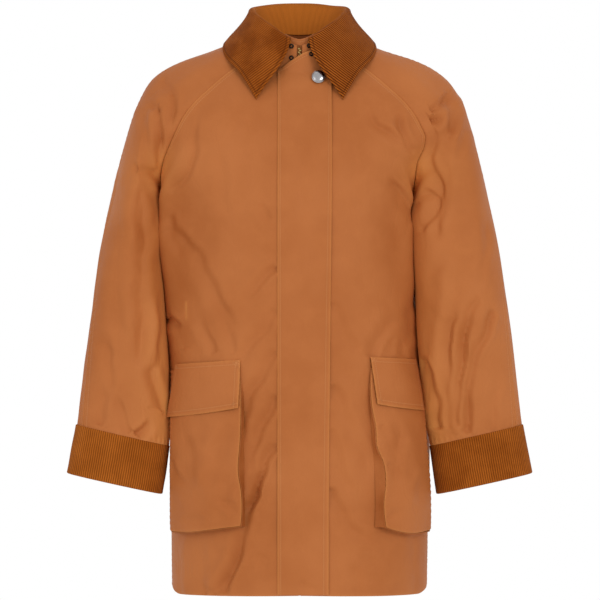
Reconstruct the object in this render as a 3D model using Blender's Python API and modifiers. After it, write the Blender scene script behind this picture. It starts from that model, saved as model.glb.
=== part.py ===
# Thigh-length raglan coat with corduroy collar and cuffs, filled out as it is worn.
# Metres, +Z up. The front faces -Y, and +X is the wearer's left.
# The origin is the middle of the neck, where the wearer's neck and shoulders carry the coat.
# Guide tables are in millimetres, and give the wearer's left half; the right half mirrors it.

import math

import bmesh
import bpy
import numpy as np
from mathutils import Vector

MM = 0.001

# Walls, in millimetres
COAT_WALL = 1.5
COLLAR_WALL = 2.2
CUFF_WALL = 3.0
FLAP_WALL = 2.0
TAPE_WALL = 1.0
SEAM_GAP = 0.3
CREASED_SEAM_GAP = 0.6
SLEEVE_SEAM_GAP = 1.0

# Cut lines, in millimetres
EDGE_AT_ZIP = 3.6
UNDERARM_Z = -235.0
HEM_Z = -800.0
HEM_RISE_AT_FRONT = 4.5
CUFF_FLARE = 1.6
UNDERARM_SPLIT = 0.7

# Fold of the fronts that stands out before the armhole
ARMHOLE_FOLD = {"reach": 17.0, "place": 0.77, "width": 0.085, "z": -250.0, "rise": 50.0, "fall": 120.0}

# The left sleeve lies forward over the front of the body: how far the cloth is drawn in there, by height
LAP = (
    # z,     drawn in
    (-575.0, 0.0),
    (-557.0, 3.0),
    (-533.0, 8.0),
    (-496.0, 13.0),
    (-459.0, 17.5),
    (-429.0, 21.0),
    (-370.0, 27.0),
    (-296.0, 38.0),
    (-222.0, 37.0),
    (-190.0, 34.0),
    (-168.0, 27.0),
    (-147.0, 10.0),
    (-130.0, 0.0),
)
LAP_INSIDE = (60.0, 200.0)
LAP_OUTSIDE = (215.0, 285.0)
LAP_BEHIND = (0.0, 80.0)

# Facets
YOKE_ROWS = 9
TORSO_ROWS = 10
FRONT_COLUMNS = 8
SLEEVE_ROWS = 10
SLEEVE_COLUMNS = 6

# Collar stand, roll and fall
STAND_DEPTH = 4.4
STAND_RISE = 0.5
FOOT_STARTS = 3
ROLL_STARTS = 10
ROLL_RADIUS = 5.8
BAND_BELOW_ROLL = 3.0
COLLAR_COLUMNS = 12
FALL_ROWS = 4

# Storm flap: the line of its top edge, from its seam to its free edge
FLAP_SEAM_X = -32.0
FLAP_EDGE_X = 45.5
FLAP_COLUMNS = 5
FLAP_LIFT = 2.9
FLAP_LIFT_AT_TOP = 4.6
FLAP_ABOVE_HEM = 0.06
FLAP_TOP = (
    # x,     z
    (-32.0, -36.0),
    (-22.0, -27.0),
    (-4.0, -14.0),
    (4.4, -8.5),
    (16.0, -4.5),
    (30.0, -7.0),
    (45.5, -24.0),
)

# Zip and guard behind the centre front; a top is a height on the stand, 1 at the roll
TAPE_DEPTH = 6.4
ZIP_FOOT = 1.96
ZIP_STRIPS = (
    # name, top, edges, depth behind the form, wall, finish
    ("zip_tape_left", 0.95, (0.3, 8.0, 15.0), TAPE_DEPTH, TAPE_WALL, "tape"),
    ("zip_tape_right", 0.95, (-15.0, -8.0, -0.3), TAPE_DEPTH, TAPE_WALL, "tape"),
    ("zip_guard", 1.16, (-21.0, -8.0, 8.0, 21.0), TAPE_DEPTH + 1.5, COAT_WALL, "cotton"),
)
SLIDER_PLACE = 0.14
SLIDER_SIZE = (6.2, 3.2, 11.0)

# Snaps
CAP_PLACE = (27.6, -44.3)
CAP_RADIUS = 9.9
CAP_HEIGHT = 3.4
CAP_TURNS = (0, 19, 38, 57, 76)
CAP_STEPS = 24
RING_RADIUS = 3.6
RING_HOLE = 1.4
RING_HEIGHT = 1.6
RING_BEVEL = 0.9
RING_STEPS = 14
NECK_SNAPS = (
    # name, x, z, carrier
    ("right_upper", -11.6, 1.5, "band"),
    ("right_lower", -11.7, -15.5, "band"),
    ("left_upper", 13.0, 2.5, "band"),
    ("left_lower", 16.5, -10.5, "flap"),
)

# Pockets: where they lie across the fronts (0 centre front, 1 side seam), and their heights
POCKETS = (
    # name, side, inner, outer, flap top, bag top, bag foot
    ("right", -1, 0.275, 0.765, -457.0, -470.0, -701.0),
    ("left", 1, 0.345, 0.765, -453.0, -466.0, -701.0),
)
POCKET_DEPTH = (
    # down, off the front
    (0.0, 2.6),
    (0.15, 7.0),
    (0.4, 13.0),
    (0.7, 16.0),
    (1.0, 14.0),
)
POCKET_COLUMNS = 6
POCKET_ROWS = 7
POCKET_FLAP_ROWS = 4
POCKET_FLAP_DROP = 76.0
POCKET_FLAP_LIFT = (
    # down, off the front
    (0.0, 2.9),
    (0.25, 7.0),
    (0.5, 10.0),
    (1.0, 14.4),
)
FLAP_WIDER = 0.012
GUSSET_CLEAR = 0.006
GUSSET_DROP = 2.2
GUSSET_SEAT = 0.5
FACING_ROWS = 3
FACING_DEPTH = 2.6

# Neck seam: angle from the centre front round to the centre back
NECK_SEAM = (
    # angle,   x,     y,     z
    (0, 0.0, -75.0, -37.0),
    (30, 36.0, -66.0, -29.0),
    (62, 63.6, -38.0, -6.0),
    (90, 72.0, -5.0, 15.0),
    (115, 65.3, 25.0, 23.5),
    (135, 51.0, 44.5, 25.5),
    (180, 0.0, 65.0, 25.0),
)
FRONT_RAGLAN_ANGLE = 62
SHOULDER_ANGLE = 90
BACK_RAGLAN_ANGLE = 135

# Inner rim of the collar's roll, by the same angle
COLLAR_ROLL = (
    # angle,   x,     y,     z
    (0, 0.0, -75.5, 5.0),
    (10, 12.4, -74.0, 8.5),
    (35, 37.0, -60.0, 28.0),
    (60, 56.0, -37.0, 43.5),
    (90, 64.5, -3.0, 55.5),
    (120, 57.0, 32.0, 61.5),
    (150, 33.0, 57.0, 66.0),
    (180, 0.0, 66.0, 67.5),
)

# Outer edge of the collar's fall: 0 at its point, 1 at the centre back
COLLAR_EDGE = (
    # along,   x,      y,      z
    (0.00, 63.4, -103.0, -77.0),
    (0.17, 88.5, -80.0, -36.0),
    (0.32, 108.0, -44.0, -9.0),
    (0.44, 113.5, -6.0, 7.0),
    (0.58, 112.0, 42.0, 13.0),
    (0.75, 82.0, 82.0, 12.0),
    (1.00, 0.0, 99.0, 4.0),
)

# Guide lines of the yoke: 0 at the neck seam, 1 level with the underarm
CENTRE_FRONT = (
    # along,  x,     y,      z
    (0.00, 0.0, -75.0, -37.0),
    (0.25, 0.0, -101.0, -86.0),
    (0.50, 0.0, -120.0, -136.0),
    (0.75, 0.0, -131.0, -186.0),
    (1.00, 0.0, -136.0, UNDERARM_Z),
)
FRONT_RAGLAN = (
    # along,  x,      y,      z
    (0.000, 63.6, -38.0, -6.0),
    (0.156, 100.2, -63.0, -32.8),
    (0.279, 128.0, -80.0, -56.4),
    (0.440, 163.5, -91.0, -92.6),
    (0.605, 187.9, -82.0, -139.0),
    (0.720, 200.0, -63.0, -170.0),
    (0.861, 204.0, -30.0, -205.0),
    (1.000, 198.0, 0.5, UNDERARM_Z),
)
SLEEVE_FRONT = (
    # along,  x,      y,      z
    (0.00, 70.4, -19.6, 5.5),
    (0.18, 122.0, -40.0, -13.0),
    (0.30, 158.0, -54.0, -31.0),
    (0.45, 203.0, -66.0, -70.0),
    (0.60, 227.0, -75.0, -112.0),
    (0.73, 236.0, -80.0, -150.0),
    (0.86, 239.0, -81.0, -190.0),
    (1.00, 238.0, -78.0, -230.0),
)
SHOULDER_LINE = (
    # along,  x,      y,    z
    (0.000, 72.0, -5.0, 15.0),
    (0.180, 131.0, -2.0, -1.5),
    (0.295, 168.7, 0.0, -14.8),
    (0.387, 197.6, 2.0, -29.6),
    (0.455, 216.8, 2.0, -44.4),
    (0.555, 236.0, 2.0, -74.0),
    (0.645, 247.9, 2.0, -103.6),
    (0.733, 256.8, 2.0, -133.2),
    (0.863, 268.6, 1.0, -177.6),
    (1.000, 278.5, 0.0, -225.0),
)
SLEEVE_BACK = (
    # along,  x,      y,     z
    (0.00, 60.0, 34.0, 24.0),
    (0.18, 116.0, 44.0, 2.0),
    (0.30, 154.0, 60.0, -14.0),
    (0.45, 200.0, 72.0, -54.0),
    (0.60, 225.0, 79.0, -97.0),
    (0.73, 234.0, 82.0, -138.0),
    (0.86, 238.0, 82.0, -185.0),
    (1.00, 238.0, 79.0, -230.0),
)
BACK_RAGLAN = (
    # along,  x,     y,     z
    (0.00, 51.0, 44.5, 25.5),
    (0.18, 88.0, 76.0, -6.0),
    (0.30, 112.0, 93.0, -31.0),
    (0.45, 143.0, 106.0, -69.0),
    (0.60, 170.0, 106.0, -111.0),
    (0.73, 189.0, 92.0, -150.0),
    (0.86, 201.0, 58.0, -197.0),
    (1.00, 198.0, 0.5, UNDERARM_Z),
)
CENTRE_BACK = (
    # along,  x,    y,      z
    (0.00, 0.0, 65.0, 25.0),
    (0.25, 0.0, 98.0, -34.0),
    (0.50, 0.0, 117.0, -97.0),
    (0.75, 0.0, 124.0, -165.0),
    (1.00, 0.0, 125.0, UNDERARM_Z),
)

# Directions in which the rows cross the raglan seams, from the body and into the sleeve
FRONT_RAGLAN_BODY_WAY = (
    # along,  x,    y,    z
    (0.00, 0.38, 0.70, 0.60),
    (0.16, 0.74, 0.50, 0.45),
    (0.35, 0.85, 0.48, 0.22),
    (0.50, 0.74, 0.66, 0.10),
    (0.70, 0.35, 0.93, 0.00),
    (0.85, 0.08, 0.99, 0.00),
    (1.00, 0.00, 1.00, 0.00),
)
FRONT_RAGLAN_SLEEVE_WAY = (
    # along,  x,    y,    z
    (0.00, 0.38, 0.70, 0.60),
    (0.16, 0.74, 0.50, 0.45),
    (0.35, 0.88, 0.40, 0.25),
    (0.50, 0.94, 0.10, 0.28),
    (0.70, 0.86, -0.45, 0.20),
    (0.85, 0.35, -0.93, 0.08),
    (1.00, 0.00, -1.00, 0.00),
)
BACK_RAGLAN_BODY_WAY = (
    # along,  x,    y,     z
    (0.00, 0.78, -0.62, 0.02),
    (0.18, 0.80, -0.58, 0.12),
    (0.35, 0.85, -0.50, 0.14),
    (0.50, 0.76, -0.64, 0.08),
    (0.70, 0.40, -0.91, 0.00),
    (0.85, 0.08, -0.99, 0.00),
    (1.00, 0.00, -1.00, 0.00),
)
BACK_RAGLAN_SLEEVE_WAY = (
    # along,  x,     y,    z
    (0.00, -0.78, 0.62, -0.02),
    (0.18, -0.80, 0.58, -0.12),
    (0.35, -0.88, 0.42, -0.18),
    (0.50, -0.95, 0.10, -0.25),
    (0.70, -0.82, -0.50, -0.20),
    (0.85, -0.35, -0.93, -0.08),
    (1.00, 0.00, -1.00, 0.00),
)
SHOULDER_WAY = (
    # along,  x,    y,    z
    (0.00, -0.08, 0.85, 0.50),
    (0.18, 0.00, 1.00, 0.08),
    (1.00, 0.00, 1.00, 0.00),
)

# Torso below the underarm
TORSO = (
    # z,      half width, front y, back y, side y
    (UNDERARM_Z, 198.0, -136.0, 125.0, 0.5),
    (-300.0, 200.5, -141.0, 124.0, 5.0),
    (-370.0, 200.0, -143.0, 124.0, 8.0),
    (-440.0, 196.5, -144.0, 126.0, 8.0),
    (-520.0, 193.0, -145.0, 129.0, 8.0),
    (-600.0, 190.5, -147.0, 133.0, 8.0),
    (-700.0, 189.5, -149.0, 138.0, 8.0),
    (HEM_Z, 188.5, -151.0, 143.0, 8.0),
)
SQUARE_AT_NECK = 1.0
SQUARE_AT_CHEST = 1.14

# Sleeve below the underarm: inner edge, outer edge, middle and half depths
SLEEVE = (
    # along, inner x, inner z, outer x, outer z, middle y, half depth, seam turn (degrees)
    (0.00, 198.0, UNDERARM_Z, 278.5, -225.0, 0.5, 78.5, 6.0),
    (0.20, 201.0, -305.0, 293.0, -292.0, -16.0, 74.0, 14.0),
    (0.40, 197.5, -375.0, 302.5, -356.0, -29.0, 67.0, 22.0),
    (0.60, 193.0, -447.0, 312.5, -424.0, -36.0, 58.0, 28.0),
    (0.80, 191.5, -522.0, 320.5, -492.0, -39.0, 46.0, 31.0),
    (1.00, 191.5, -584.0, 326.5, -553.0, -41.0, 36.0, 33.0),
)
CUFF = (
    # along, inner x, inner z, outer x, outer z, middle y, half depth
    (0.00, 191.5, -584.0, 326.5, -553.0, -41.0, 36.0),
    (0.50, 196.5, -620.0, 333.5, -589.0, -43.0, 34.5),
    (1.00, 202.0, -655.0, 340.5, -624.5, -45.0, 33.5),
)
CUFF_SQUARE = 1.12


def as_points(table):
    return np.array(table, dtype=float)


def guide(table, along):
    """Smooth value through a table whose first column is the place along it."""
    rows = as_points(table)
    place = rows[:, 0]
    values = rows[:, 1:]
    slopes = np.gradient(values, place, axis=0, edge_order=2)
    i = int(np.clip(np.searchsorted(place, along) - 1, 0, len(place) - 2))
    step = place[i + 1] - place[i]
    t = (along - place[i]) / step
    start = (2 * t**3 - 3 * t**2 + 1) * values[i] + (t**3 - 2 * t**2 + t) * step * slopes[i]
    end = (3 * t**2 - 2 * t**3) * values[i + 1] + (t**3 - t**2) * step * slopes[i + 1]
    return start + end


def unit(vector):
    return vector / np.linalg.norm(vector)


def arc(start, end, leave, arrive, t, square=1.0):
    """Point on one curved stretch; square above 1 fills its corner."""
    chord = end - start
    turn = min(1.0, 1.0 - float(leave @ arrive))
    fullness = (1 / 3 + 0.219 * turn) * square
    least = 0.25 * np.linalg.norm(chord)
    near = start + leave * fullness * max(float(chord @ leave), least)
    far = end - arrive * fullness * max(float(chord @ arrive), least)
    s = 1 - t
    return s**3 * start + 3 * s * s * t * near + 3 * s * t * t * far + t**3 * end


SIDEWAYS = np.array([1.0, 0.0, 0.0])
BACKWARDS = np.array([0.0, 1.0, 0.0])


def yoke_square(v):
    return SQUARE_AT_NECK + (SQUARE_AT_CHEST - SQUARE_AT_NECK) * v


def neck_fade(v):
    return max(0.0, 1.0 - v / 0.3) ** 2


def front_yoke(t, v):
    return arc(guide(CENTRE_FRONT, v), guide(FRONT_RAGLAN, v), SIDEWAYS,
               unit(guide(FRONT_RAGLAN_BODY_WAY, v)), t, yoke_square(v))


def back_yoke(t, v):
    return arc(guide(CENTRE_BACK, v), guide(BACK_RAGLAN, v), SIDEWAYS,
               unit(guide(BACK_RAGLAN_BODY_WAY, v)), t, yoke_square(v))


def sleeve_yoke(t, v):
    """Sleeve head: t from 0 at the front raglan seam through 0.5 at the shoulder line to 1 at the back."""
    split = SIDEWAYS * UNDERARM_SPLIT * max(0.0, (v - 0.5) / 0.5)
    stops = [guide(FRONT_RAGLAN, v) + split, guide(SLEEVE_FRONT, v), guide(SHOULDER_LINE, v),
             guide(SLEEVE_BACK, v), guide(BACK_RAGLAN, v) + split]
    ways = [unit(guide(FRONT_RAGLAN_SLEEVE_WAY, v)), unit(stops[2] - stops[0]),
            unit(guide(SHOULDER_WAY, v)), unit(stops[4] - stops[2]),
            unit(guide(BACK_RAGLAN_SLEEVE_WAY, v))]
    i = min(3, int(t * 4))
    return arc(stops[i], stops[i + 1], ways[i], ways[i + 1], t * 4 - i)


def neck_angle_of(kind, t):
    if kind == "front":
        return FRONT_RAGLAN_ANGLE * t
    if kind == "back":
        return 180 - (180 - BACK_RAGLAN_ANGLE) * t
    if t <= 0.5:
        return FRONT_RAGLAN_ANGLE + (SHOULDER_ANGLE - FRONT_RAGLAN_ANGLE) * t * 2
    return SHOULDER_ANGLE + (BACK_RAGLAN_ANGLE - SHOULDER_ANGLE) * (t - 0.5) * 2


def yoke(kind, t, v):
    """Point of the yoke, drawn to the neck seam at its top."""
    surface = {"front": front_yoke, "back": back_yoke, "sleeve": sleeve_yoke}[kind]
    point = surface(t, v)
    fade = neck_fade(v)
    if fade > 0:
        point = point + (guide(NECK_SEAM, neck_angle_of(kind, t)) - surface(t, 0.0)) * fade
    return point


def hem_z(kind, t):
    if kind == "front":
        return HEM_Z + HEM_RISE_AT_FRONT * (1 - t) ** 2
    return HEM_Z


def torso(kind, t, down):
    """Body below the underarm: t from the centre line to the side seam, down from 0 to 1 at the hem."""
    z = UNDERARM_Z + (hem_z(kind, t) - UNDERARM_Z) * down
    width, front, back, side = guide(TORSO[::-1], z)
    depth = front if kind == "front" else back
    way = BACKWARDS if kind == "front" else -BACKWARDS
    return arc(np.array([0.0, depth, z]), np.array([width, side, z]), SIDEWAYS, way, t, SQUARE_AT_CHEST)


def loop(table, t, along, flare=0.0):
    """Point of a closed sleeve section: t from 0 at the underarm seam through its front and outside."""
    inner_x, inner_z, outer_x, outer_z, middle_y, depth = guide(table, along)[:6]
    across = unit(np.array([outer_x - inner_x, 0.0, outer_z - inner_z]))
    inner = np.array([inner_x, middle_y, inner_z]) - across * flare
    outer = np.array([outer_x, middle_y, outer_z]) + across * flare
    middle = (inner + outer) / 2
    depth += flare
    stops = [inner, middle - BACKWARDS * depth, outer, middle + BACKWARDS * depth, inner]
    ways = [-BACKWARDS, across, BACKWARDS, -across, -BACKWARDS]
    i = min(3, int(t * 4))
    square = 1.0 + (CUFF_SQUARE - 1.0) * (along if table is SLEEVE else 1.0)
    return arc(stops[i], stops[i + 1], ways[i], ways[i + 1], t * 4 - i, square)


def outwards(angle):
    """Level direction away from the neck."""
    turn = math.radians(angle)
    return np.array([math.sin(turn), -math.cos(turn), 0.0])


def stand(angle, rise):
    """Point of the band's outer face: rise 0 at the neck seam, 1 at the roll's rim."""
    foot = guide(NECK_SEAM, angle)
    head = guide(COLLAR_ROLL, angle) + outwards(angle) * STAND_DEPTH
    return foot + (head - foot) * rise


def armhole_fold(t, z):
    """Swell of the front beside the armhole, as a sideways move."""
    fold = ARMHOLE_FOLD
    length = fold["rise"] if z > fold["z"] else fold["fall"]
    across = math.exp(-(((t - fold["place"]) / fold["width"]) ** 2))
    return fold["reach"] * across * math.exp(-(((z - fold["z"]) / length) ** 2))


def body_surface(kind, t, s):
    """Body form: s below 0 on the neck stand, 0 to 1 in the yoke, 1 to 2 below the underarm."""
    if s < 0:
        return stand(neck_angle_of(kind, t), -s)
    point = yoke(kind, t, s) if s <= 1 else torso(kind, t, s - 1)
    if kind == "front":
        point = point + SIDEWAYS * armhole_fold(t, point[2]) * min(1.0, s / 0.3)
    return point


def moved_out(kind, t, s, out):
    """Point of the body form moved out along its normal."""
    step = 0.004
    across = body_surface(kind, min(t + step, 1.0), s) - body_surface(kind, t - step, s)
    down = body_surface(kind, t, s + step) - body_surface(kind, t, s - step)
    normal = unit(np.cross(down, across))
    if kind == "back":
        normal = -normal
    return body_surface(kind, t, s) + normal * out


def front_place(x, z):
    """The place (t, s) of the front form that shows at x and z."""
    target = np.array([abs(x), z])
    seen = [(float(np.hypot(*(point[[0, 2]] - target))), t, s) for t, s, point in FRONT_SAMPLES]
    _, t, s = min(seen)
    step = 0.002
    for _ in range(6):
        here = body_surface("front", t, s)[[0, 2]]
        by_t = (body_surface("front", t + step, s)[[0, 2]] - here) / step
        by_s = (body_surface("front", t, s + step)[[0, 2]] - here) / step
        move = np.linalg.solve(np.array([by_t, by_s]).T, target - here)
        t = float(np.clip(t + move[0], -0.02, 0.99))
        s = float(np.clip(s + move[1], -1.2, 2.0))
    return t, s


def on_front(x, z, out):
    """Point on the fronts, moved out; x may lie on either side of the centre."""
    t, s = front_place(x, z)
    point = moved_out("front", t, s, out)
    if x < 0:
        point[0] = -point[0]
    return point


FRONT_SAMPLES = [(t, s, body_surface("front", t, s))
                 for t in np.linspace(0, 0.9, 10) for s in np.linspace(-1, 2, 46)]
BODY_PLACES = np.linspace(0, 1, FRONT_COLUMNS + 1)
BODY_HEIGHTS = np.concatenate([np.linspace(0, 1, YOKE_ROWS), 1 + np.linspace(0, 1, TORSO_ROWS + 1)[1:]])


# ---------------------------------------------------------------- meshes

def finish(name, colour, roughness, metallic=0.0):
    material = bpy.data.materials.new(name)
    material.use_nodes = True
    shader = material.node_tree.nodes["Principled BSDF"]
    shader.inputs["Base Color"].default_value = (*colour, 1.0)
    shader.inputs["Roughness"].default_value = roughness
    shader.inputs["Metallic"].default_value = metallic
    return material


def place_in_coat(name, mesh, material):
    mesh.materials.append(material)
    piece = bpy.data.objects.new(name, mesh)
    coat.objects.link(piece)
    return piece


def pulled_in(grid, edges, gap=SEAM_GAP):
    """Grid with its borders drawn in by half a seam gap: edges names top, bottom, start or end."""
    grid = grid.copy()
    half = gap / 2
    sides = {"top": (np.s_[0], np.s_[1]), "bottom": (np.s_[-1], np.s_[-2]),
             "start": (np.s_[:, 0], np.s_[:, 1]), "end": (np.s_[:, -1], np.s_[:, -2])}
    for edge in edges:
        border, neighbour = sides[edge]
        inward = grid[neighbour] - grid[border]
        length = np.linalg.norm(inward, axis=1, keepdims=True)
        grid[border] = grid[border] + inward / length * half
    return grid


def eased(span, value):
    t = min(1.0, max(0.0, (value - span[0]) / (span[1] - span[0])))
    return t * t * (3 - 2 * t)


def lapped(point):
    """Point of the coat, drawn in where the left sleeve lies over the body."""
    x, y, z = point
    if not LAP[0][0] < z < LAP[-1][0] or x <= LAP_INSIDE[0]:
        return point
    share = eased(LAP_INSIDE, x) * (1 - eased(LAP_OUTSIDE, x)) * (1 - eased(LAP_BEHIND, y))
    return point - SIDEWAYS * max(0.0, float(guide(LAP, z)[0])) * share


def cloth(name, grid, wall, material, side=1, ring=False, flip=False):
    """A cloth piece: a grid of points on its outer face, lofted and given its wall inwards."""
    mesh = bpy.data.meshes.new(name)
    build = bmesh.new()
    sided = np.array([side, 1.0, 1.0])
    points = [[build.verts.new(lapped(np.array(p) * sided) * MM) for p in row] for row in grid]
    columns = len(points[0])
    for upper, lower in zip(points, points[1:]):
        for i in range(columns if ring else columns - 1):
            j = (i + 1) % columns
            face = [upper[i], lower[i], lower[j], upper[j]]
            if (side < 0) != flip:
                face.reverse()
            build.faces.new(face)
    build.to_mesh(mesh)
    build.free()
    piece = place_in_coat(name, mesh, material)
    wall_of = piece.modifiers.new("wall", "SOLIDIFY")
    wall_of.thickness = wall * MM
    wall_of.offset = -1
    wall_of.use_even_offset = True
    mesh.shade_smooth()
    mesh.set_sharp_from_angle(angle=math.radians(40))
    return piece


def turned(name, profile, steps, at, facing, material):
    """A turned metal piece: profile of (radius, height) in mm from its top down, set facing out."""
    mesh = bpy.data.meshes.new(name)
    build = bmesh.new()
    points = [build.verts.new((radius * MM, 0.0, height * MM)) for radius, height in profile]
    closed = profile[0][0] > 0
    for a, b in zip(points, points[1:] + points[:1] if closed else points[1:]):
        build.edges.new((a, b))
    build.to_mesh(mesh)
    build.free()
    piece = place_in_coat(name, mesh, material)
    screw = piece.modifiers.new("turn", "SCREW")
    screw.steps = steps
    screw.render_steps = steps
    screw.use_merge_vertices = True
    screw.merge_threshold = 0.00001
    piece.location = [value * MM for value in at]
    piece.rotation_mode = "QUATERNION"
    piece.rotation_quaternion = Vector(facing).to_track_quat("Z", "Y")
    mesh.shade_smooth()
    return piece


# ---------------------------------------------------------------- pieces

def body_grid(kind):
    grid = np.array([[body_surface(kind, t, s) for t in BODY_PLACES] for s in BODY_HEIGHTS])
    grid = pulled_in(grid, ("top",))
    return pulled_in(grid, ("end",), CREASED_SEAM_GAP)


def front_panels():
    grid = body_grid("front")
    for row in grid:
        toward = row[1] - row[0]
        row[0] = row[0] + toward * EDGE_AT_ZIP / toward[0]
    cloth("front_left", grid, COAT_WALL, cotton)
    cloth("front_right", grid, COAT_WALL, cotton, side=-1)


def mirrored(points):
    return np.array(points) * np.array([-1.0, 1.0, 1.0])


def back_panel():
    half = body_grid("back")
    half[:, 0, 0] = 0.0
    cloth("back", np.concatenate([mirrored(half[:, :0:-1]), half], axis=1), COAT_WALL, cotton, flip=True)


def sleeve_seam(row, along):
    """Place round the section of the seam over the shoulder and outer arm."""
    turn = guide(SLEEVE, along)[6] if row == "loop" else SLEEVE[0][7] * along
    return 0.5 - turn / 360


def sleeve_places(half, seam):
    """Places round the section, closer together at its two seams, where the sleeve turns most."""
    share = (1 - np.cos(np.linspace(0, math.pi, SLEEVE_COLUMNS + 1))) / 2
    return seam * share if half == "front" else seam + (1 - seam) * share


def sleeves():
    rows = [("yoke", v) for v in np.linspace(0, 1, YOKE_ROWS)]
    rows += [("loop", w) for w in np.linspace(0, 1, SLEEVE_ROWS + 1)[1:]]
    for half in ("front", "back"):
        grid = []
        for row, along in rows:
            seam = sleeve_seam(row, along)
            places = sleeve_places(half, seam)
            if row == "yoke":
                grid.append([yoke("sleeve", t, along) for t in places])
            else:
                grid.append([loop(SLEEVE, t, along) + SIDEWAYS * UNDERARM_SPLIT for t in places])
        grid = pulled_in(np.array(grid), ("top", "bottom"))
        grid = pulled_in(grid, ("start", "end"), SLEEVE_SEAM_GAP)
        cloth(f"sleeve_{half}_left", grid, COAT_WALL, cotton)
        cloth(f"sleeve_{half}_right", grid, COAT_WALL, cotton, side=-1)


def cuffs():
    seam = sleeve_seam("loop", 1.0)
    places = np.concatenate([sleeve_places("front", seam)[:-1], sleeve_places("back", seam)[:-1]])
    grid = [[loop(CUFF, t, along, CUFF_FLARE) + SIDEWAYS * UNDERARM_SPLIT for t in places]
            for along in np.linspace(0, 1, 4)]
    grid = pulled_in(np.array(grid), ("top",))
    cloth("cuff_left", grid, CUFF_WALL, corduroy, ring=True)
    cloth("cuff_right", grid, CUFF_WALL, corduroy, side=-1, ring=True)


def collar_angles(t):
    """Angles round the neck of the collar's foot and of its roll: t from 0 at its front to 1 at the back."""
    return FOOT_STARTS + (180 - FOOT_STARTS) * t, ROLL_STARTS + (180 - ROLL_STARTS) * t


def collar_section(t):
    """The collar's cloth face from its foot inside the neck, over the roll, to its outer edge."""
    low, high = collar_angles(t)
    foot = guide(NECK_SEAM, low) - outwards(low) * STAND_DEPTH + np.array([0, 0, STAND_RISE])
    rim = guide(COLLAR_ROLL, high)
    away = outwards(high)
    up = np.array([0.0, 0.0, 1.0])
    edge = guide(COLLAR_EDGE, t)
    over = rim + away * 2 * ROLL_RADIUS
    section = [foot, foot + (rim - foot) * 0.5, rim]
    for turn in (45, 90, 135):
        angle = math.radians(turn)
        section.append(rim + away * ROLL_RADIUS * (1 - math.cos(angle)) + up * ROLL_RADIUS * math.sin(angle))
    leave = unit(np.array([0, 0, -1.0]) + away * 0.5)
    arrive = unit(edge - over + away * np.linalg.norm(edge - over) * 0.05)
    section += [arc(over, edge, leave, arrive, place) for place in np.linspace(0, 1, FALL_ROWS + 1)]
    return section


def collar():
    half = np.array([collar_section(t) for t in np.linspace(0, 1, COLLAR_COLUMNS + 1)])
    half[-1, :, 0] = 0.0
    cloth("collar", np.concatenate([half, mirrored(half[-2::-1])]), COLLAR_WALL, corduroy, flip=True)


def band_grid():
    """The band below the roll, which runs on past the collar's front to the zip."""
    columns = [collar_angles(t) for t in np.linspace(0, 1, COLLAR_COLUMNS + 1)]
    columns[0] = (FOOT_STARTS + 1, ROLL_STARTS)
    columns.insert(0, (FOOT_STARTS, FOOT_STARTS))
    rows = []
    for rise in (1.0, 0.5, 0.0):
        row = []
        for low, high in columns:
            foot = stand(low, 0.0) + np.array([0, 0, STAND_RISE])
            head = stand(high, 1.0) + np.array([0, 0, -BAND_BELOW_ROLL])
            row.append(foot + (head - foot) * rise)
        row[-1][0] = 0.0
        rows.append(row + list(mirrored(row[-2::-1])))
    return np.array(rows)


def neck_facing():
    rows = []
    for s in BODY_HEIGHTS[:FACING_ROWS]:
        half = [moved_out("back", t, max(s, 0.02), -FACING_DEPTH) for t in BODY_PLACES[:-1]]
        half[0][0] = 0.0
        rows.append(list(mirrored(half[:0:-1])) + half)
    cloth("neck_facing", np.array(rows), COAT_WALL, cotton, flip=True)


def place_across(x, s):
    """The place across the front form at height s that lies x from the centre."""
    low, high = 0.0, 0.9
    for _ in range(18):
        middle = (low + high) / 2
        if body_surface("front", middle, s)[0] < x:
            low = middle
        else:
            high = middle
    return (low + high) / 2


def on_front_row(x, s, out):
    point = moved_out("front", place_across(abs(x), s), s, out)
    return mirrored(point) if x < 0 else point


def flap_top(x):
    return float(guide(FLAP_TOP, x)[0])


def flap_grid():
    across = np.linspace(FLAP_SEAM_X, FLAP_EDGE_X, FLAP_COLUMNS + 1)
    top = [on_front(x, flap_top(x), FLAP_LIFT_AT_TOP) for x in across]
    grid = [np.array(top)]
    lower = [np.array([on_front_row(x, s, FLAP_LIFT) for x in across]) for s in BODY_HEIGHTS[1:]]
    grid.append((grid[0] + lower[0]) / 2)
    lower[-1] = lower[-1] + (lower[-2] - lower[-1]) * FLAP_ABOVE_HEM
    return np.array(grid + lower)


def behind_front(x, s, depth):
    """Point level behind the fronts or the stand."""
    point = body_surface("front", place_across(abs(x), s), s)
    return np.array([x, point[1] + depth, point[2]])


def zip_pieces():
    for name, top, ends, depth, wall, material in ZIP_STRIPS:
        heights = np.concatenate([np.linspace(-top, 0, 4)[:-1], BODY_HEIGHTS[:-1], [ZIP_FOOT]])
        grid = [[behind_front(x, s, depth) for x in ends] for s in heights]
        cloth(name, np.array(grid), wall, finishes[material])


def zip_slider():
    mesh = bpy.data.meshes.new("zip_slider")
    build = bmesh.new()
    bmesh.ops.create_cube(build, size=1.0)
    bmesh.ops.scale(build, vec=[size * MM for size in SLIDER_SIZE], verts=build.verts)
    bmesh.ops.bevel(build, geom=build.edges, offset=0.6 * MM, segments=1, affect="EDGES", profile=0.5)
    build.to_mesh(mesh)
    build.free()
    slider = place_in_coat("zip_slider", mesh, brass)
    middle = behind_front(0.0, SLIDER_PLACE, TAPE_DEPTH - SEAM_GAP - SLIDER_SIZE[1] / 2)
    below = behind_front(0.0, SLIDER_PLACE + 0.02, 0.0) - behind_front(0.0, SLIDER_PLACE - 0.02, 0.0)
    slider.location = [value * MM for value in middle]
    slider.rotation_euler = (math.atan2(below[1], -below[2]), 0.0, 0.0)


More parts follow.
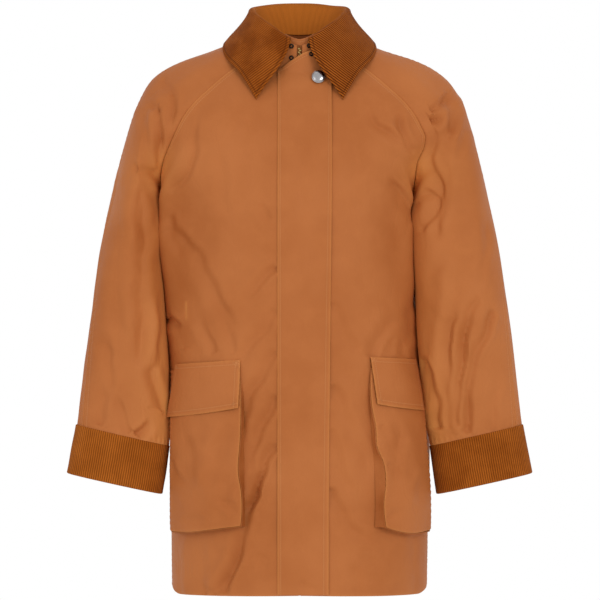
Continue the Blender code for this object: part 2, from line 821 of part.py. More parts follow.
def on_grid(grid, x, z):
    """Points of a cloth grid's front that show at x and z, with their normals, for either split of a cell."""
    found = []
    for i, j in np.ndindex(grid.shape[0] - 1, grid.shape[1] - 1):
        cell = [grid[i, j], grid[i + 1, j], grid[i + 1, j + 1], grid[i, j + 1]]
        for k in range(4):
            one = cell[(k + 1) % 4] - cell[k]
            other = cell[(k + 3) % 4] - cell[k]
            sides = np.array([one[[0, 2]], other[[0, 2]]]).T
            if cell[k][1] > 0 or abs(np.linalg.det(sides)) < 1.0:
                continue
            share = np.linalg.solve(sides, np.array([x, z]) - cell[k][[0, 2]])
            if min(share) >= 0 and sum(share) <= 1:
                normal = unit(np.cross(one, other))
                found.append((cell[k] + one * share[0] + other * share[1], normal))
    return found


def seat_on_grid(grid, x, z, radius):
    """Where a flat round base sits on a cloth grid, just clear of it, and the way it faces."""
    middle, facing = on_grid(grid, x, z)[0]
    facing = facing if facing[1] < 0 else -facing
    under = []
    for share in (1.0, 0.5, 0.0):
        for turn in np.radians(np.arange(0, 360, 20)):
            under += on_grid(grid, x + radius * share * math.cos(turn), z + radius * share * math.sin(turn))
    highest = max(float((point - middle) @ facing) for point, _ in under)
    return middle + facing * (highest + SEAM_GAP), facing


def snaps(band, flap):
    dome = [(CAP_RADIUS * math.sin(turn), CAP_HEIGHT * math.cos(turn)) for turn in np.radians(CAP_TURNS)]
    dome += [(CAP_RADIUS, 0.0), (0.0, 0.0)]
    turned("snap_cap", dome, CAP_STEPS, *seat_on_grid(flap, *CAP_PLACE, CAP_RADIUS), nickel)
    ring = [(RING_RADIUS - RING_BEVEL, RING_HEIGHT), (RING_RADIUS, RING_HEIGHT * 0.5), (RING_RADIUS, 0.0),
            (RING_HOLE, 0.0)]
    for name, x, z, carrier in NECK_SNAPS:
        seat = seat_on_grid(flap if carrier == "flap" else band, x, z, RING_RADIUS)
        turned(f"neck_snap_{name}", ring, RING_STEPS, *seat, dark_metal)


def pocket_depth(down):
    """How far the bag stands off the front, from its top to its foot."""
    return float(guide(POCKET_DEPTH, min(1.0, max(0.0, down)))[0])


def height_place(z):
    return 1 + (z - UNDERARM_Z) / (HEM_Z - UNDERARM_Z)


def pockets():
    for name, side, inner, outer, flap_z, bag_top, bag_foot in POCKETS:
        across = np.linspace(inner, outer, POCKET_COLUMNS + 1)
        heights = np.linspace(bag_top, bag_foot, POCKET_ROWS + 1)

        def off_front(t, z, out):
            return moved_out("front", t, height_place(z), out)

        def depth(z):
            return pocket_depth((bag_top - z) / (bag_top - bag_foot))

        bag = [[off_front(t, z, depth(z)) for t in across] for z in heights]
        cloth(f"pocket_bag_{name}", np.array(bag), COAT_WALL, cotton, side=side)

        rim = [(outer + GUSSET_CLEAR, z) for z in heights]
        rim += [(outer, bag_foot - GUSSET_DROP)]
        rim += [(t, bag_foot - GUSSET_DROP) for t in across[-2:0:-1]]
        rim += [(inner, bag_foot - GUSSET_DROP)]
        rim += [(inner - GUSSET_CLEAR, z) for z in heights[::-1]]
        gusset = [[off_front(t, z, GUSSET_SEAT) for t, z in rim],
                  [off_front(t, z, depth(z)) for t, z in rim]]
        cloth(f"pocket_gusset_{name}", np.array(gusset), COAT_WALL, cotton, side=side, flip=True)

        flap = []
        for down in np.linspace(0, 1, POCKET_FLAP_ROWS + 1):
            z = flap_z - POCKET_FLAP_DROP * down
            lift = float(guide(POCKET_FLAP_LIFT, down)[0])
            flap.append([off_front(t, z, lift)
                         for t in np.linspace(inner - FLAP_WIDER, outer + FLAP_WIDER, POCKET_COLUMNS + 1)])
        cloth(f"pocket_flap_{name}", np.array(flap), FLAP_WALL, cotton, side=side)


for old in list(bpy.data.objects):
    bpy.data.objects.remove(old, do_unlink=True)
coat = bpy.data.collections.new("raglan_coat")
bpy.context.scene.collection.children.link(coat)

cotton = finish("coat_cotton", (0.41, 0.155, 0.05), 0.62)
corduroy = finish("corduroy", (0.30, 0.085, 0.012), 0.85)
tape = finish("zip_tape", (0.22, 0.09, 0.03), 0.8)
brass = finish("brass", (0.62, 0.45, 0.2), 0.35, 1.0)
nickel = finish("nickel", (0.72, 0.72, 0.74), 0.18, 1.0)
dark_metal = finish("dark_metal", (0.03, 0.025, 0.02), 0.35, 1.0)
finishes = {"cotton": cotton, "tape": tape}

front_panels()
back_panel()
sleeves()
cuffs()
collar()
neck_facing()
cloth("collar_band", band_grid(), COAT_WALL, cotton)
cloth("storm_flap", flap_grid(), FLAP_WALL, cotton)
zip_pieces()
zip_slider()
snaps(band_grid(), flap_grid())
pockets()
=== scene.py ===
import math

import bmesh
import bpy
import numpy as np
from mathutils import Matrix, Vector


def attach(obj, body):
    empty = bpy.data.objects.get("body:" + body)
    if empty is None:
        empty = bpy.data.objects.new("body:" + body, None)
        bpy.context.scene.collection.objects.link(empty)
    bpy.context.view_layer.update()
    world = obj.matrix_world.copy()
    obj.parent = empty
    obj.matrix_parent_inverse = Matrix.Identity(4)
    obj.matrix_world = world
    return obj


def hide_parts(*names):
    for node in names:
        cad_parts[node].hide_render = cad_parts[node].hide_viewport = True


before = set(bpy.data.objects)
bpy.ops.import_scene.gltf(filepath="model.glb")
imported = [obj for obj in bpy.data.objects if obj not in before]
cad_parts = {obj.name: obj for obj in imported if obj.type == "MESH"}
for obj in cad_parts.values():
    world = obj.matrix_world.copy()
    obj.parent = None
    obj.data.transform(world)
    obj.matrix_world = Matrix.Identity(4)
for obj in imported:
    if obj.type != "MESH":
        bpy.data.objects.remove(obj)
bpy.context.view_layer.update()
print("frame loaded")

# The cut is worked in millimetres: x to the wearer's left, -y forwards, z up.
millimetre = 0.001
sideways = np.array([1.0, 0.0, 0.0])
backwards = np.array([0.0, 1.0, 0.0])
upwards = np.array([0.0, 0.0, 1.0])
mirror = np.array([-1.0, 1.0, 1.0])
signs = {"left": 1, "right": -1}


def drawn(rows):  # a guide line, from rows of place and values
    rows = np.array(rows, float)
    rows = rows[np.argsort(rows[:, 0])]
    return rows[:, 0], rows[:, 1:], np.gradient(rows[:, 1:], rows[:, 0], axis=0, edge_order=2)


def follow(line, place):  # smooth values of a guide line at one place or many
    at, values, slopes = line
    place = np.asarray(place, float)
    i = np.clip(np.searchsorted(at, place) - 1, 0, len(at) - 2)
    step = (at[i + 1] - at[i])[..., None]
    t = (place - at[i])[..., None] / step
    start = (2 * t**3 - 3 * t**2 + 1) * values[i] + (t**3 - 2 * t**2 + t) * step * slopes[i]
    return start + (3 * t**2 - 2 * t**3) * values[i + 1] + (t**3 - t**2) * step * slopes[i + 1]


def smoothStep(low, high, value):
    t = np.clip((value - low) / (high - low), 0, 1)
    return t * t * (3 - 2 * t)


def bell(value, middle, spread):
    return np.exp(-((value - middle) / spread) ** 2)


def unit(vector):
    return vector / np.maximum(np.linalg.norm(vector, axis=-1, keepdims=True), 1e-9)


# How far the two handles of a curved stretch reach, as shares of its chord.
handles = {"straight": 1 / 3, "turned": 0.219, "least": 0.25}


def curve(start, end, leave, arrive, t, square=1.0):  # points along one curved stretch of a row
    chord = end - start
    full = (handles["straight"] + handles["turned"] * min(1.0, 1.0 - float(leave @ arrive))) * square
    least = handles["least"] * np.linalg.norm(chord)
    near = start + leave * full * max(float(chord @ leave), least)
    far = end - arrive * full * max(float(chord @ arrive), least)
    t = np.asarray(t, float)[:, None]
    s = 1 - t
    return s**3 * start + 3 * s * s * t * near + 3 * s * t * t * far + t**3 * end


# The coat's form is the wearer's left half, and the right half mirrors it.
form = {
    "underarm": -235.0, "hem": -801.5, "hemRise": 3.0, "hemCorner": 10.0, "zipEdge": 3.6, "split": 0.7,
    "squareAtNeck": 1.0, "squareAtChest": 1.14, "cuffSquare": 1.12,
    "neckFade": 0.3, "cornerStarts": (0.74, 0.9),
    "frontAngle": 62.0, "shoulderAngle": 90.0, "backAngle": 135.0,
    "standDepth": 4.4, "standRise": 0.5, "rollRadius": 5.8,
    "neckSeam": drawn((
        (0, 0, -75, -37), (30, 36, -66, -29), (62, 63.6, -38, -6), (90, 72, -5, 15),
        (115, 65.3, 25, 23.5), (135, 51, 44.5, 25.5), (180, 0, 65, 25))),
    "roll": drawn((
        (0, 0, -75.5, 5), (10, 12.4, -74, 8.5), (35, 37, -60, 28), (60, 56, -37, 43.5),
        (90, 64.5, -3, 55.5), (120, 57, 32, 61.5), (150, 33, 57, 66), (180, 0, 66, 67.5))),
    "collarEdge": drawn((
        (0.00, 63.4, -103, -77), (0.17, 88.5, -80, -36), (0.32, 111, -44, -10), (0.38, 114.5, -24, 0),
        (0.44, 114, -6, 6), (0.58, 110, 42, 12), (0.75, 82, 82, 12), (1.00, 0, 99, 4))),
    "centreFront": drawn((
        (0.00, 0, -75, -37), (0.25, 0, -101, -86), (0.50, 0, -120, -136), (0.75, 0, -131, -186),
        (1.00, 0, -136, -235))),
    "frontRaglan": drawn((
        (0.000, 63.6, -38, -6), (0.156, 100.2, -63, -32.8), (0.279, 128, -80, -56.4),
        (0.440, 163.5, -91, -92.6), (0.605, 187.9, -82, -139), (0.720, 200, -63, -170),
        (0.861, 204, -30, -205), (1.000, 198, 0.5, -235))),
    "sleeveFront": drawn((
        (0.00, 70.4, -19.6, 5.5), (0.18, 122, -40, -13), (0.30, 158, -54, -31), (0.45, 203, -66, -70),
        (0.60, 227, -75, -112), (0.73, 236, -80, -150), (0.86, 239, -81, -190), (1.00, 238, -78, -230))),
    "shoulder": drawn((
        (0.000, 72, -5, 15), (0.180, 131, -2, -3.5), (0.295, 168.7, 0, -15.8), (0.387, 197.6, 2, -29.6),
        (0.455, 216.8, 2, -44.4), (0.555, 236, 2, -74), (0.645, 247.9, 2, -103.6),
        (0.733, 256.8, 2, -133.2), (0.863, 268.6, 1, -177.6), (1.000, 278.5, 0, -225))),
    "sleeveBack": drawn((
        (0.00, 60, 34, 24), (0.18, 116, 44, 2), (0.30, 154, 60, -14), (0.45, 200, 72, -54),
        (0.60, 225, 79, -97), (0.73, 234, 82, -138), (0.86, 238, 82, -185), (1.00, 238, 79, -230))),
    "backRaglan": drawn((
        (0.00, 51, 44.5, 25.5), (0.18, 88, 76, -6), (0.30, 112, 93, -31), (0.45, 143, 106, -69),
        (0.60, 170, 106, -111), (0.73, 189, 92, -150), (0.86, 201, 58, -197), (1.00, 198, 0.5, -235))),
    "centreBack": drawn((
        (0.00, 0, 65, 25), (0.25, 0, 98, -34), (0.50, 0, 117, -97), (0.75, 0, 124, -165),
        (1.00, 0, 125, -235))),
    "frontBodyWay": drawn((
        (0.00, 0.38, 0.70, 0.60), (0.16, 0.74, 0.50, 0.45), (0.35, 0.85, 0.48, 0.22),
        (0.50, 0.74, 0.66, 0.10), (0.70, 0.35, 0.93, 0), (0.85, 0.08, 0.99, 0), (1.00, 0, 1, 0))),
    "frontSleeveWay": drawn((
        (0.00, 0.38, 0.70, 0.60), (0.16, 0.74, 0.50, 0.45), (0.35, 0.88, 0.40, 0.25),
        (0.50, 0.94, 0.10, 0.28), (0.70, 0.86, -0.45, 0.20), (0.85, 0.35, -0.93, 0.08), (1.00, 0, -1, 0))),
    "backBodyWay": drawn((
        (0.00, 0.78, -0.62, 0.02), (0.18, 0.80, -0.58, 0.12), (0.35, 0.85, -0.50, 0.14),
        (0.50, 0.76, -0.64, 0.08), (0.70, 0.40, -0.91, 0), (0.85, 0.08, -0.99, 0), (1.00, 0, -1, 0))),
    "backSleeveWay": drawn((
        (0.00, -0.78, 0.62, -0.02), (0.18, -0.80, 0.58, -0.12), (0.35, -0.88, 0.42, -0.18),
        (0.50, -0.95, 0.10, -0.25), (0.70, -0.82, -0.50, -0.20), (0.85, -0.35, -0.93, -0.08),
        (1.00, 0, -1, 0))),
    "shoulderWay": drawn(((0.00, -0.08, 0.85, 0.50), (0.18, 0, 1, 0.08), (1.00, 0, 1, 0))),
    # z, half width, front y, back y, side y
    "torso": drawn((
        (-235, 198, -136, 125, 0.5), (-300, 200.5, -141, 124, 5), (-370, 200, -143, 124, 8),
        (-440, 196.5, -144, 126, 8), (-520, 193, -145, 129, 8), (-600, 190.5, -147, 133, 8),
        (-700, 189.5, -149, 138, 8), (-800, 188.5, -151, 143, 8))),
    # along, inner x and z, outer x and z, middle y, half depth, seam turn
    "sleeve": drawn((
        (0.00, 198, -235, 278.5, -225, 0.5, 78.5, 6), (0.20, 201, -305, 293, -292, -16, 74, 14),
        (0.40, 197.5, -375, 302.5, -356, -29, 67, 22), (0.60, 193, -447, 312.5, -424, -36, 58, 28),
        (0.80, 191.5, -522, 320.5, -492, -39, 46, 31), (1.00, 191.5, -584, 326.5, -553, -41, 36, 33))),
    "cuff": drawn((
        (0.00, 191.5, -584, 326.5, -553, -41, 36), (0.50, 196.5, -620, 333.5, -589, -43, 34.5),
        (1.00, 202, -655, 340.5, -624.5, -45, 33.5))),
    # how far the left sleeve lies over the body, by height, and where that fades
    "lap": drawn((
        (-575, 0), (-557, 3), (-533, 8), (-496, 13), (-459, 17.5), (-429, 21), (-370, 27), (-296, 38),
        (-222, 37), (-190, 34), (-168, 27), (-147, 10), (-130, 0))),
    "lapInside": (60.0, 200.0), "lapOutside": (208.0, 266.0), "lapBehind": (0.0, 80.0),
    # the swell of the front beside the armhole: how far, where across, at what height, and how each fades
    "swell": {"out": 17.0, "share": 0.77, "across": 0.085, "level": -250.0, "above": 50.0, "below": 120.0,
              "starts": 0.3},
}


def neckAngle(kind, t):
    if kind == "front":
        return form["frontAngle"] * t
    if kind == "back":
        return 180 - (180 - form["backAngle"]) * t
    toShoulder = form["frontAngle"] + (form["shoulderAngle"] - form["frontAngle"]) * t * 2
    toBack = form["shoulderAngle"] + (form["backAngle"] - form["shoulderAngle"]) * (t - 0.5) * 2
    return np.where(t <= 0.5, toShoulder, toBack)


def yokeRow(kind, t, v):  # one level row of the coat above the underarm
    square = form["squareAtNeck"] + (form["squareAtChest"] - form["squareAtNeck"]) * v
    if kind == "front":
        return curve(follow(form["centreFront"], v), follow(form["frontRaglan"], v), sideways,
                     unit(follow(form["frontBodyWay"], v)), t, square)
    if kind == "back":
        return curve(follow(form["centreBack"], v), follow(form["backRaglan"], v), sideways,
                     unit(follow(form["backBodyWay"], v)), t, square)
    split = sideways * form["split"] * max(0.0, (v - 0.5) / 0.5)
    stops = [follow(form["frontRaglan"], v) + split, follow(form["sleeveFront"], v), follow(form["shoulder"], v),
             follow(form["sleeveBack"], v), follow(form["backRaglan"], v) + split]
    ways = [unit(follow(form["frontSleeveWay"], v)), unit(stops[2] - stops[0]), unit(follow(form["shoulderWay"], v)),
            unit(stops[4] - stops[2]), unit(follow(form["backSleeveWay"], v))]
    return quarters(stops, ways, t)


def quarters(stops, ways, t, square=1.0):
    row = np.zeros((len(t), 3))
    which = np.minimum(3, (t * 4).astype(int))
    for i in range(4):
        on = which == i
        if on.any():
            row[on] = curve(stops[i], stops[i + 1], ways[i], ways[i + 1], t[on] * 4 - i, square)
    return row


def yoke(kind, t, v):  # the same row, drawn to the neck seam at its top
    row = yokeRow(kind, t, v)
    fade = max(0.0, 1.0 - v / form["neckFade"]) ** 2
    if fade > 0:
        row = row + (follow(form["neckSeam"], neckAngle(kind, t)) - yokeRow(kind, t, 0.0)) * fade
    return row


def torso(kind, t, down):
    level = form["underarm"] + (form["hem"] - form["underarm"]) * down
    width, front, back, side = follow(form["torso"], level)
    depth, way = (front, backwards) if kind == "front" else (back, -backwards)
    row = curve(np.array([0, depth, level]), np.array([width, side, level]), sideways, way, t,
                form["squareAtChest"])
    if kind == "front":
        row[:, 2] += form["hemRise"] * (1 - t) ** 2 * down
    acrossStarts, downStarts = form["cornerStarts"]
    row[:, 2] += form["hemCorner"] * smoothStep(acrossStarts, 1.0, t) * smoothStep(downStarts, 1.0, down)
    return row


def loop(table, t, along, flare=0.0):  # one closed row of the sleeve or cuff
    innerX, innerZ, outerX, outerZ, middleY, depth = follow(form[table], along)[:6]
    across = unit(np.array([outerX - innerX, 0.0, outerZ - innerZ]))
    inner = np.array([innerX, middleY, innerZ]) - across * flare
    outer = np.array([outerX, middleY, outerZ]) + across * flare
    middle = (inner + outer) / 2
    depth += flare
    stops = [inner, middle - backwards * depth, outer, middle + backwards * depth, inner]
    ways = [-backwards, across, backwards, -across, -backwards]
    square = 1.0 + (form["cuffSquare"] - 1.0) * (along if table == "sleeve" else 1.0)
    return quarters(stops, ways, np.asarray(t, float), square)


def away(angle):  # level directions out from the neck
    turn = np.radians(np.asarray(angle, float))
    return np.stack([np.sin(turn), -np.cos(turn), 0 * turn], axis=-1)


def stand(angle, rise):
    foot = follow(form["neckSeam"], angle)
    head = follow(form["roll"], angle) + away(angle) * form["standDepth"]
    return foot + (head - foot) * rise


def bodyRow(kind, t, s):  # s below 0 on the stand, 0 to 1 in the yoke, 1 to 2 below the underarm
    if s < 0:
        return stand(neckAngle(kind, t), -s)
    row = yoke(kind, t, s) if s <= 1 else torso(kind, t, s - 1)
    if kind == "front":
        swell, z = form["swell"], row[:, 2]
        spread = np.where(z > swell["level"], swell["above"], swell["below"])
        out = swell["out"] * bell(t, swell["share"], swell["across"])
        row[:, 0] += out * (bell(z, swell["level"], spread) * min(1.0, s / swell["starts"]))
    return row


def heightOf(z):
    return 1 + (z - form["underarm"]) / (form["hem"] - form["underarm"])


def lapped(points):  # the cloth of the wearer's left half, drawn in where that sleeve lies over the body
    x, y, z = points[..., 0], points[..., 1], points[..., 2]
    low, high = form["lap"][0][[0, -1]]
    amount = np.maximum(follow(form["lap"], np.clip(z, low, high))[..., 0], 0)
    amount = np.where((z > low) & (z < high), amount, 0)
    share = smoothStep(*form["lapInside"], x) * (1 - smoothStep(*form["lapOutside"], x))
    share = share * (1 - smoothStep(*form["lapBehind"], y))
    return points - sideways * (amount * share)[..., None]


studio = {"floor": -1.55, "spread": 11.0, "away": 7000.0, "level": -370.0, "aside": 0.7, "lens": 283.8,
          "sensor": 36.0, "ambient": 0.80, "backdrop": 1.0, "aim": (0, 0, -0.35)}


def asSeen(points, side=1):  # where a half's points stand in front view, to lay out what is judged from there
    placed = lapped(points * (side, 1.0, 1.0))
    closer = studio["away"] / (studio["away"] + placed[..., 1])
    return placed[..., 0] * closer, studio["level"] + (placed[..., 2] - studio["level"]) * closer


# Working with a piece's rows of points.
# The first rows or columns at a piece's border, in millimetres from it.
closest = {"panel": (0.6, 1.4, 2.6), "hem": (0.6, 1.4, 2.8), "joint": (0.8, 2.0), "trim": (0.5, 1.2, 2.2),
           "strip": (0.5, 1.2, 2.4), "corduroy": (0.5, 1.1, 2.0)}


def even(count, fine, length):  # places from 0 to 1, closer at both ends
    near = np.array((0.0,) + closest[fine]) / length
    inner = np.linspace(near[-1], 1 - near[-1], count)
    return np.concatenate([near[:-1], inner, 1 - near[:-1][::-1]])


def normals(points, turn=1):
    across = np.gradient(points, axis=1)
    down = np.gradient(points, axis=0)
    return unit(np.cross(down, across)) * turn


def lengths(points):  # measured along and down the cloth, from its first corner
    across = np.linalg.norm(np.diff(points, axis=1), axis=2)
    down = np.linalg.norm(np.diff(points, axis=0), axis=2)
    u = np.concatenate([np.zeros((len(points), 1)), np.cumsum(across, axis=1)], axis=1)
    v = np.concatenate([np.zeros((1, points.shape[1])), np.cumsum(down, axis=0)], axis=0)
    return u, v


def fromEnd(u):  # distance back from the far border
    return u[:, -1:] - u


def fromFoot(v):
    return v[-1:] - v


def softPath(path):  # a fold's line, rounded through its points
    path = np.array(path, float)
    if len(path) == 2:
        return np.linspace(path[0], path[1], 8)
    place = np.arange(len(path))
    line = drawn(np.column_stack([place, path]))
    return follow(line, np.linspace(0, len(path) - 1, 7 * (len(path) - 1) + 1))


creases = {"depth": 1.3, "width": 0.9, "least": 4.2, "reach": 5, "lean": 0.5, "gentle": 1.5,
           "waver": 0.4, "waverLengths": (17.0, 7.5), "swell": 0.3, "swellLength": 23.0,
           "ridge": 0.36, "ridgeAt": 1.9, "ridgeWide": 0.9}


def fold(depth, wide, *path, step=0.0, ends=(0.25, 0.25)):  # a trough, or a ridge when depth is below 0
    return {"depth": depth, "wide": wide, "path": path, "step": step, "ends": ends}


def foldMove(points, side, folds):  # how far each point moves out for the folds, which are laid out as seen
    x, z = asSeen(points, side)
    total = np.zeros_like(x)
    for each in folds:
        path = softPath(each["path"])
        wide = max(each["wide"] * creases["width"], creases["least"])
        reach = wide * creases["reach"]
        low, high = path.min(axis=0) - reach, path.max(axis=0) + reach
        near = (x > low[0]) & (x < high[0]) & (z > low[1]) & (z < high[1])
        if not near.any():
            continue
        px, pz = x[near], z[near]
        best = np.full(px.shape, 1e9)
        hand = np.zeros_like(best)
        run = np.zeros_like(best)
        for i, (a, b) in enumerate(zip(path, path[1:])):
            along = b - a
            share = np.clip(((px - a[0]) * along[0] + (pz - a[1]) * along[1]) / (along @ along), 0, 1)
            dx, dz = px - a[0] - share * along[0], pz - a[1] - share * along[1]
            gap = np.hypot(dx, dz)
            closer = gap < best
            best = np.where(closer, gap, best)
            hand = np.where(closer, np.sign(along[0] * dz - along[1] * dx), hand)
            run = np.where(closer, (i + share) / (len(path) - 1), run)
        turns = np.random.default_rng(int(abs(path[0] @ (7.0, 13.0)))).uniform(0, 2 * math.pi, 3)
        way = run * np.linalg.norm(np.diff(path, axis=0), axis=1).sum()
        slow, quick = (np.sin(way / length + turn) for length, turn in zip(creases["waverLengths"], turns))
        q = best * hand / wide + creases["waver"] * (slow + 0.6 * quick)
        gentle = 1 + creases["gentle"] * np.where(q > 0, 0, creases["lean"])
        r = np.abs(q) / gentle
        shape = creases["ridge"] * bell(r, creases["ridgeAt"], creases["ridgeWide"]) - np.exp(-r**1.7)
        step = each["step"] * (np.tanh(q * 1.6) * np.exp(-np.abs(q) * 0.5))
        begins, ends = each["ends"]
        fade = smoothStep(0, max(begins, 1e-3), run) * smoothStep(0, max(ends, 1e-3), 1 - run)
        fade = fade * (1 + creases["swell"] * np.sin(way / creases["swellLength"] + turns[2]))
        total[near] += each["depth"] * creases["depth"] * (shape + step) * fade
    return total


def unevenness(points, seed, size, amount):  # broad soft waves that no two parts of the cloth share
    rng = np.random.default_rng(seed)
    total = 0
    for k in range(7):
        way = rng.normal(size=3) * (1.0, 0.8, 0.55)
        way = way / np.linalg.norm(way) * 2 * math.pi / (size * rng.uniform(0.7, 1.7))
        total = total + np.sin(points @ way + rng.uniform(0, 2 * math.pi)) * rng.uniform(0.5, 1.0)
    return total * amount / 2.6


def turnedEdge(distance, radius):  # how far a rounded edge drops at a distance from its border
    inside = np.clip(radius - distance, 0, radius)
    return radius - np.sqrt(np.maximum(radius**2 - inside**2, 0))


gathers = {"length": 9.0, "drift": ((1.6, 31.0), (0.8, 13.0)), "swellLength": 47.0}


def pucker(along, distance, seed, amount=0.5, reach=6.5):  # short uneven gathers beside a line of stitches
    turns = np.random.default_rng(seed).uniform(0, 2 * math.pi, 3)
    phase = along * 2 * math.pi / gathers["length"]
    for (much, length), turn in zip(gathers["drift"], turns):
        phase = phase + much * np.sin(along / length + turn)
    swell = 0.6 + 0.4 * np.sin(along / gathers["swellLength"] + turns[2])
    return amount * np.sin(phase) * swell * bell(distance, 0, reach)


def plumped(amount, distance, level, place):  # a soft rise beside a seam, at one distance and one height
    return amount * bell(distance, *place[0]) * bell(level, *place[1])


def blended(points, joint, border, spread=14, rounds=50):  # the rows beside the underarm level flow together
    rows = np.arange(len(points))
    share = np.clip(1 - np.abs(rows - joint) / spread, 0, 1)[:, None] * smoothStep(1, 16, border)
    points = points.copy()
    for _ in range(rounds):
        middle = (points[:-2] + points[2:]) / 2
        points[1:-1] += (middle - points[1:-1]) * 0.6 * share[1:-1, :, None]
    return points


def meshOf(build, name):
    mesh = bpy.data.meshes.new(name)
    build.to_mesh(mesh)
    build.free()
    return mesh


def addObject(name, data):
    made = bpy.data.objects.new(name, data)
    bpy.context.scene.collection.objects.link(made)
    return made


# Making one piece of cloth from its rows of points.
def clothPiece(name, points, wall, finish, nodes, side=1, turn=False, joined=False, marks=None, flat=None):
    rows, columns = points.shape[:2]
    if flat is None:
        flat = np.stack(lengths(points), axis=2)
    build = bmesh.new()
    bmesh.ops.create_grid(build, x_segments=columns - 1, y_segments=rows - 1, size=1)
    spots = lapped(points.reshape(-1, 3) * (side, 1.0, 1.0)) * millimetre
    for vert, spot in zip(build.verts, spots):
        vert.co = spot
    if (side > 0) != turn:
        bmesh.ops.reverse_faces(build, faces=build.faces)
    mesh = meshOf(build, name)
    corners = np.zeros(len(mesh.loops), np.int32)
    mesh.loops.foreach_get("vertex_index", corners)
    cloth = mesh.uv_layers.new(name="cloth")
    cloth.data.foreach_set("uv", (flat.reshape(-1, 2)[corners] / 100).ravel())
    for mark, values in (marks or {}).items():
        layer = mesh.attributes.new(mark, "FLOAT", "POINT")
        layer.data.foreach_set("value", np.broadcast_to(values, (rows, columns)).astype(np.float32).ravel())
    piece = addObject(name, mesh)
    if joined:
        build = bmesh.new()
        build.from_mesh(mesh)
        bmesh.ops.remove_doubles(build, verts=build.verts, dist=0.00002)
        build.to_mesh(mesh)
        build.free()
    walled = piece.modifiers.new("wall", "SOLIDIFY")
    walled.thickness = wall * millimetre
    walled.offset = -1
    walled.use_even_offset = False
    settle(piece)
    mesh = piece.data
    mesh.materials.clear()
    mesh.materials.append(finish)
    wear(piece, nodes)
    print(name, "made with", len(mesh.polygons), "faces")


crispAngle = 50


def settle(piece):  # the modifiers become the mesh
    mesh = bpy.data.meshes.new_from_object(piece.evaluated_get(bpy.context.evaluated_depsgraph_get()))
    piece.modifiers.clear()
    old = piece.data
    piece.data = mesh
    bpy.data.meshes.remove(old)
    mesh.shade_smooth()
    mesh.set_sharp_from_angle(angle=math.radians(crispAngle))


def wear(piece, nodes):
    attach(piece, "root")
    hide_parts(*nodes)


class Nodes:  # a short way to lay out a material's nodes
    def __init__(self, name):
        self.material = bpy.data.materials.new(name)
        self.material.use_nodes = True
        self.tree = self.material.node_tree
        self.shader = self.tree.nodes["Principled BSDF"]

    def add(self, kind, settings=None, **inputs):
        made = self.tree.nodes.new(kind)
        for key, value in (settings or {}).items():
            setattr(made, key, value)
        for key, value in inputs.items():
            socket = made.inputs[int(key[1:])] if key[0] == "i" and key[1:].isdigit() else made.inputs[key]
            self.join(value, socket)
        return made

    def join(self, value, socket):
        if isinstance(value, bpy.types.NodeSocket):
            self.tree.links.new(value, socket)
        elif isinstance(value, bpy.types.Node):
            self.tree.links.new(value.outputs[0], socket)
        else:
            socket.default_value = value

    def math(self, operation, a, b=0.0, c=0.0):
        return self.add("ShaderNodeMath", {"operation": operation}, i0=a, i1=b, i2=c)

    def times(self, a, b):
        return self.math("MULTIPLY", a, b)

    def plus(self, a, b):
        return self.math("ADD", a, b)

    def ramp(self, value, low, high, toLow=0.0, toHigh=1.0):
        made = self.add("ShaderNodeMapRange", {"interpolation_type": "SMOOTHSTEP"}, Value=value)
        for key, number in (("From Min", low), ("From Max", high), ("To Min", toLow), ("To Max", toHigh)):
            self.join(number, made.inputs[key])
        return made

    def mix(self, share, a, b, blend="MIX"):
        made = self.add("ShaderNodeMix", {"data_type": "RGBA", "blend_type": blend})
        self.join(share, made.inputs[0])
        self.join(a, made.inputs[6])
        self.join(b, made.inputs[7])
        return made.outputs[2]

    def mark(self, name):
        return self.add("ShaderNodeAttribute", {"attribute_name": name}).outputs["Fac"]

    def cloth(self):
        return self.add("ShaderNodeUVMap", {"uv_map": "cloth"}).outputs[0]

    def noise(self, where, scale, detail=2.0, roughness=0.5):
        return self.add("ShaderNodeTexNoise", None, Vector=where, Scale=scale, Detail=detail, Roughness=roughness)

    def finish(self, colour, roughness, bump=None, metallic=0.0, sheen=0.0, sheenColour=(1, 1, 1), specular=0.5):
        self.join(colour, self.shader.inputs["Base Color"])
        self.join(roughness, self.shader.inputs["Roughness"])
        self.shader.inputs["Metallic"].default_value = metallic
        self.shader.inputs["Specular IOR Level"].default_value = specular
        if sheen:
            self.shader.inputs["Sheen Weight"].default_value = sheen
            self.shader.inputs["Sheen Roughness"].default_value = 0.5
            self.shader.inputs["Sheen Tint"].default_value = (*sheenColour, 1)
        if bump is not None:
            self.join(bump, self.shader.inputs["Normal"])
        return self.material


def rgb(red, green, blue):  # a colour as it is seen, to the shader's light values
    return tuple(c / 12.92 if c <= 0.04045 else ((c + 0.055) / 1.055) ** 2.4
                 for c in (red / 255, green / 255, blue / 255)) + (1.0,)


# The pale colour: worn edges with painted highlights mix towards it, and so does the painted light that lifts places
# where shade falls.
cottonLook = {"cloth": rgb(179, 105, 54), "deep": rgb(166, 92, 43), "light": rgb(188, 113, 62),
              "wearAndPaintedLight": rgb(250, 174, 94), "thread": rgb(218, 152, 98), "weave": 0.006, "rough": 0.58,
              "wearAndHighlight": 0.3, "dip": 0.12, "stitched": 0.3, "halfStitch": 1.6}


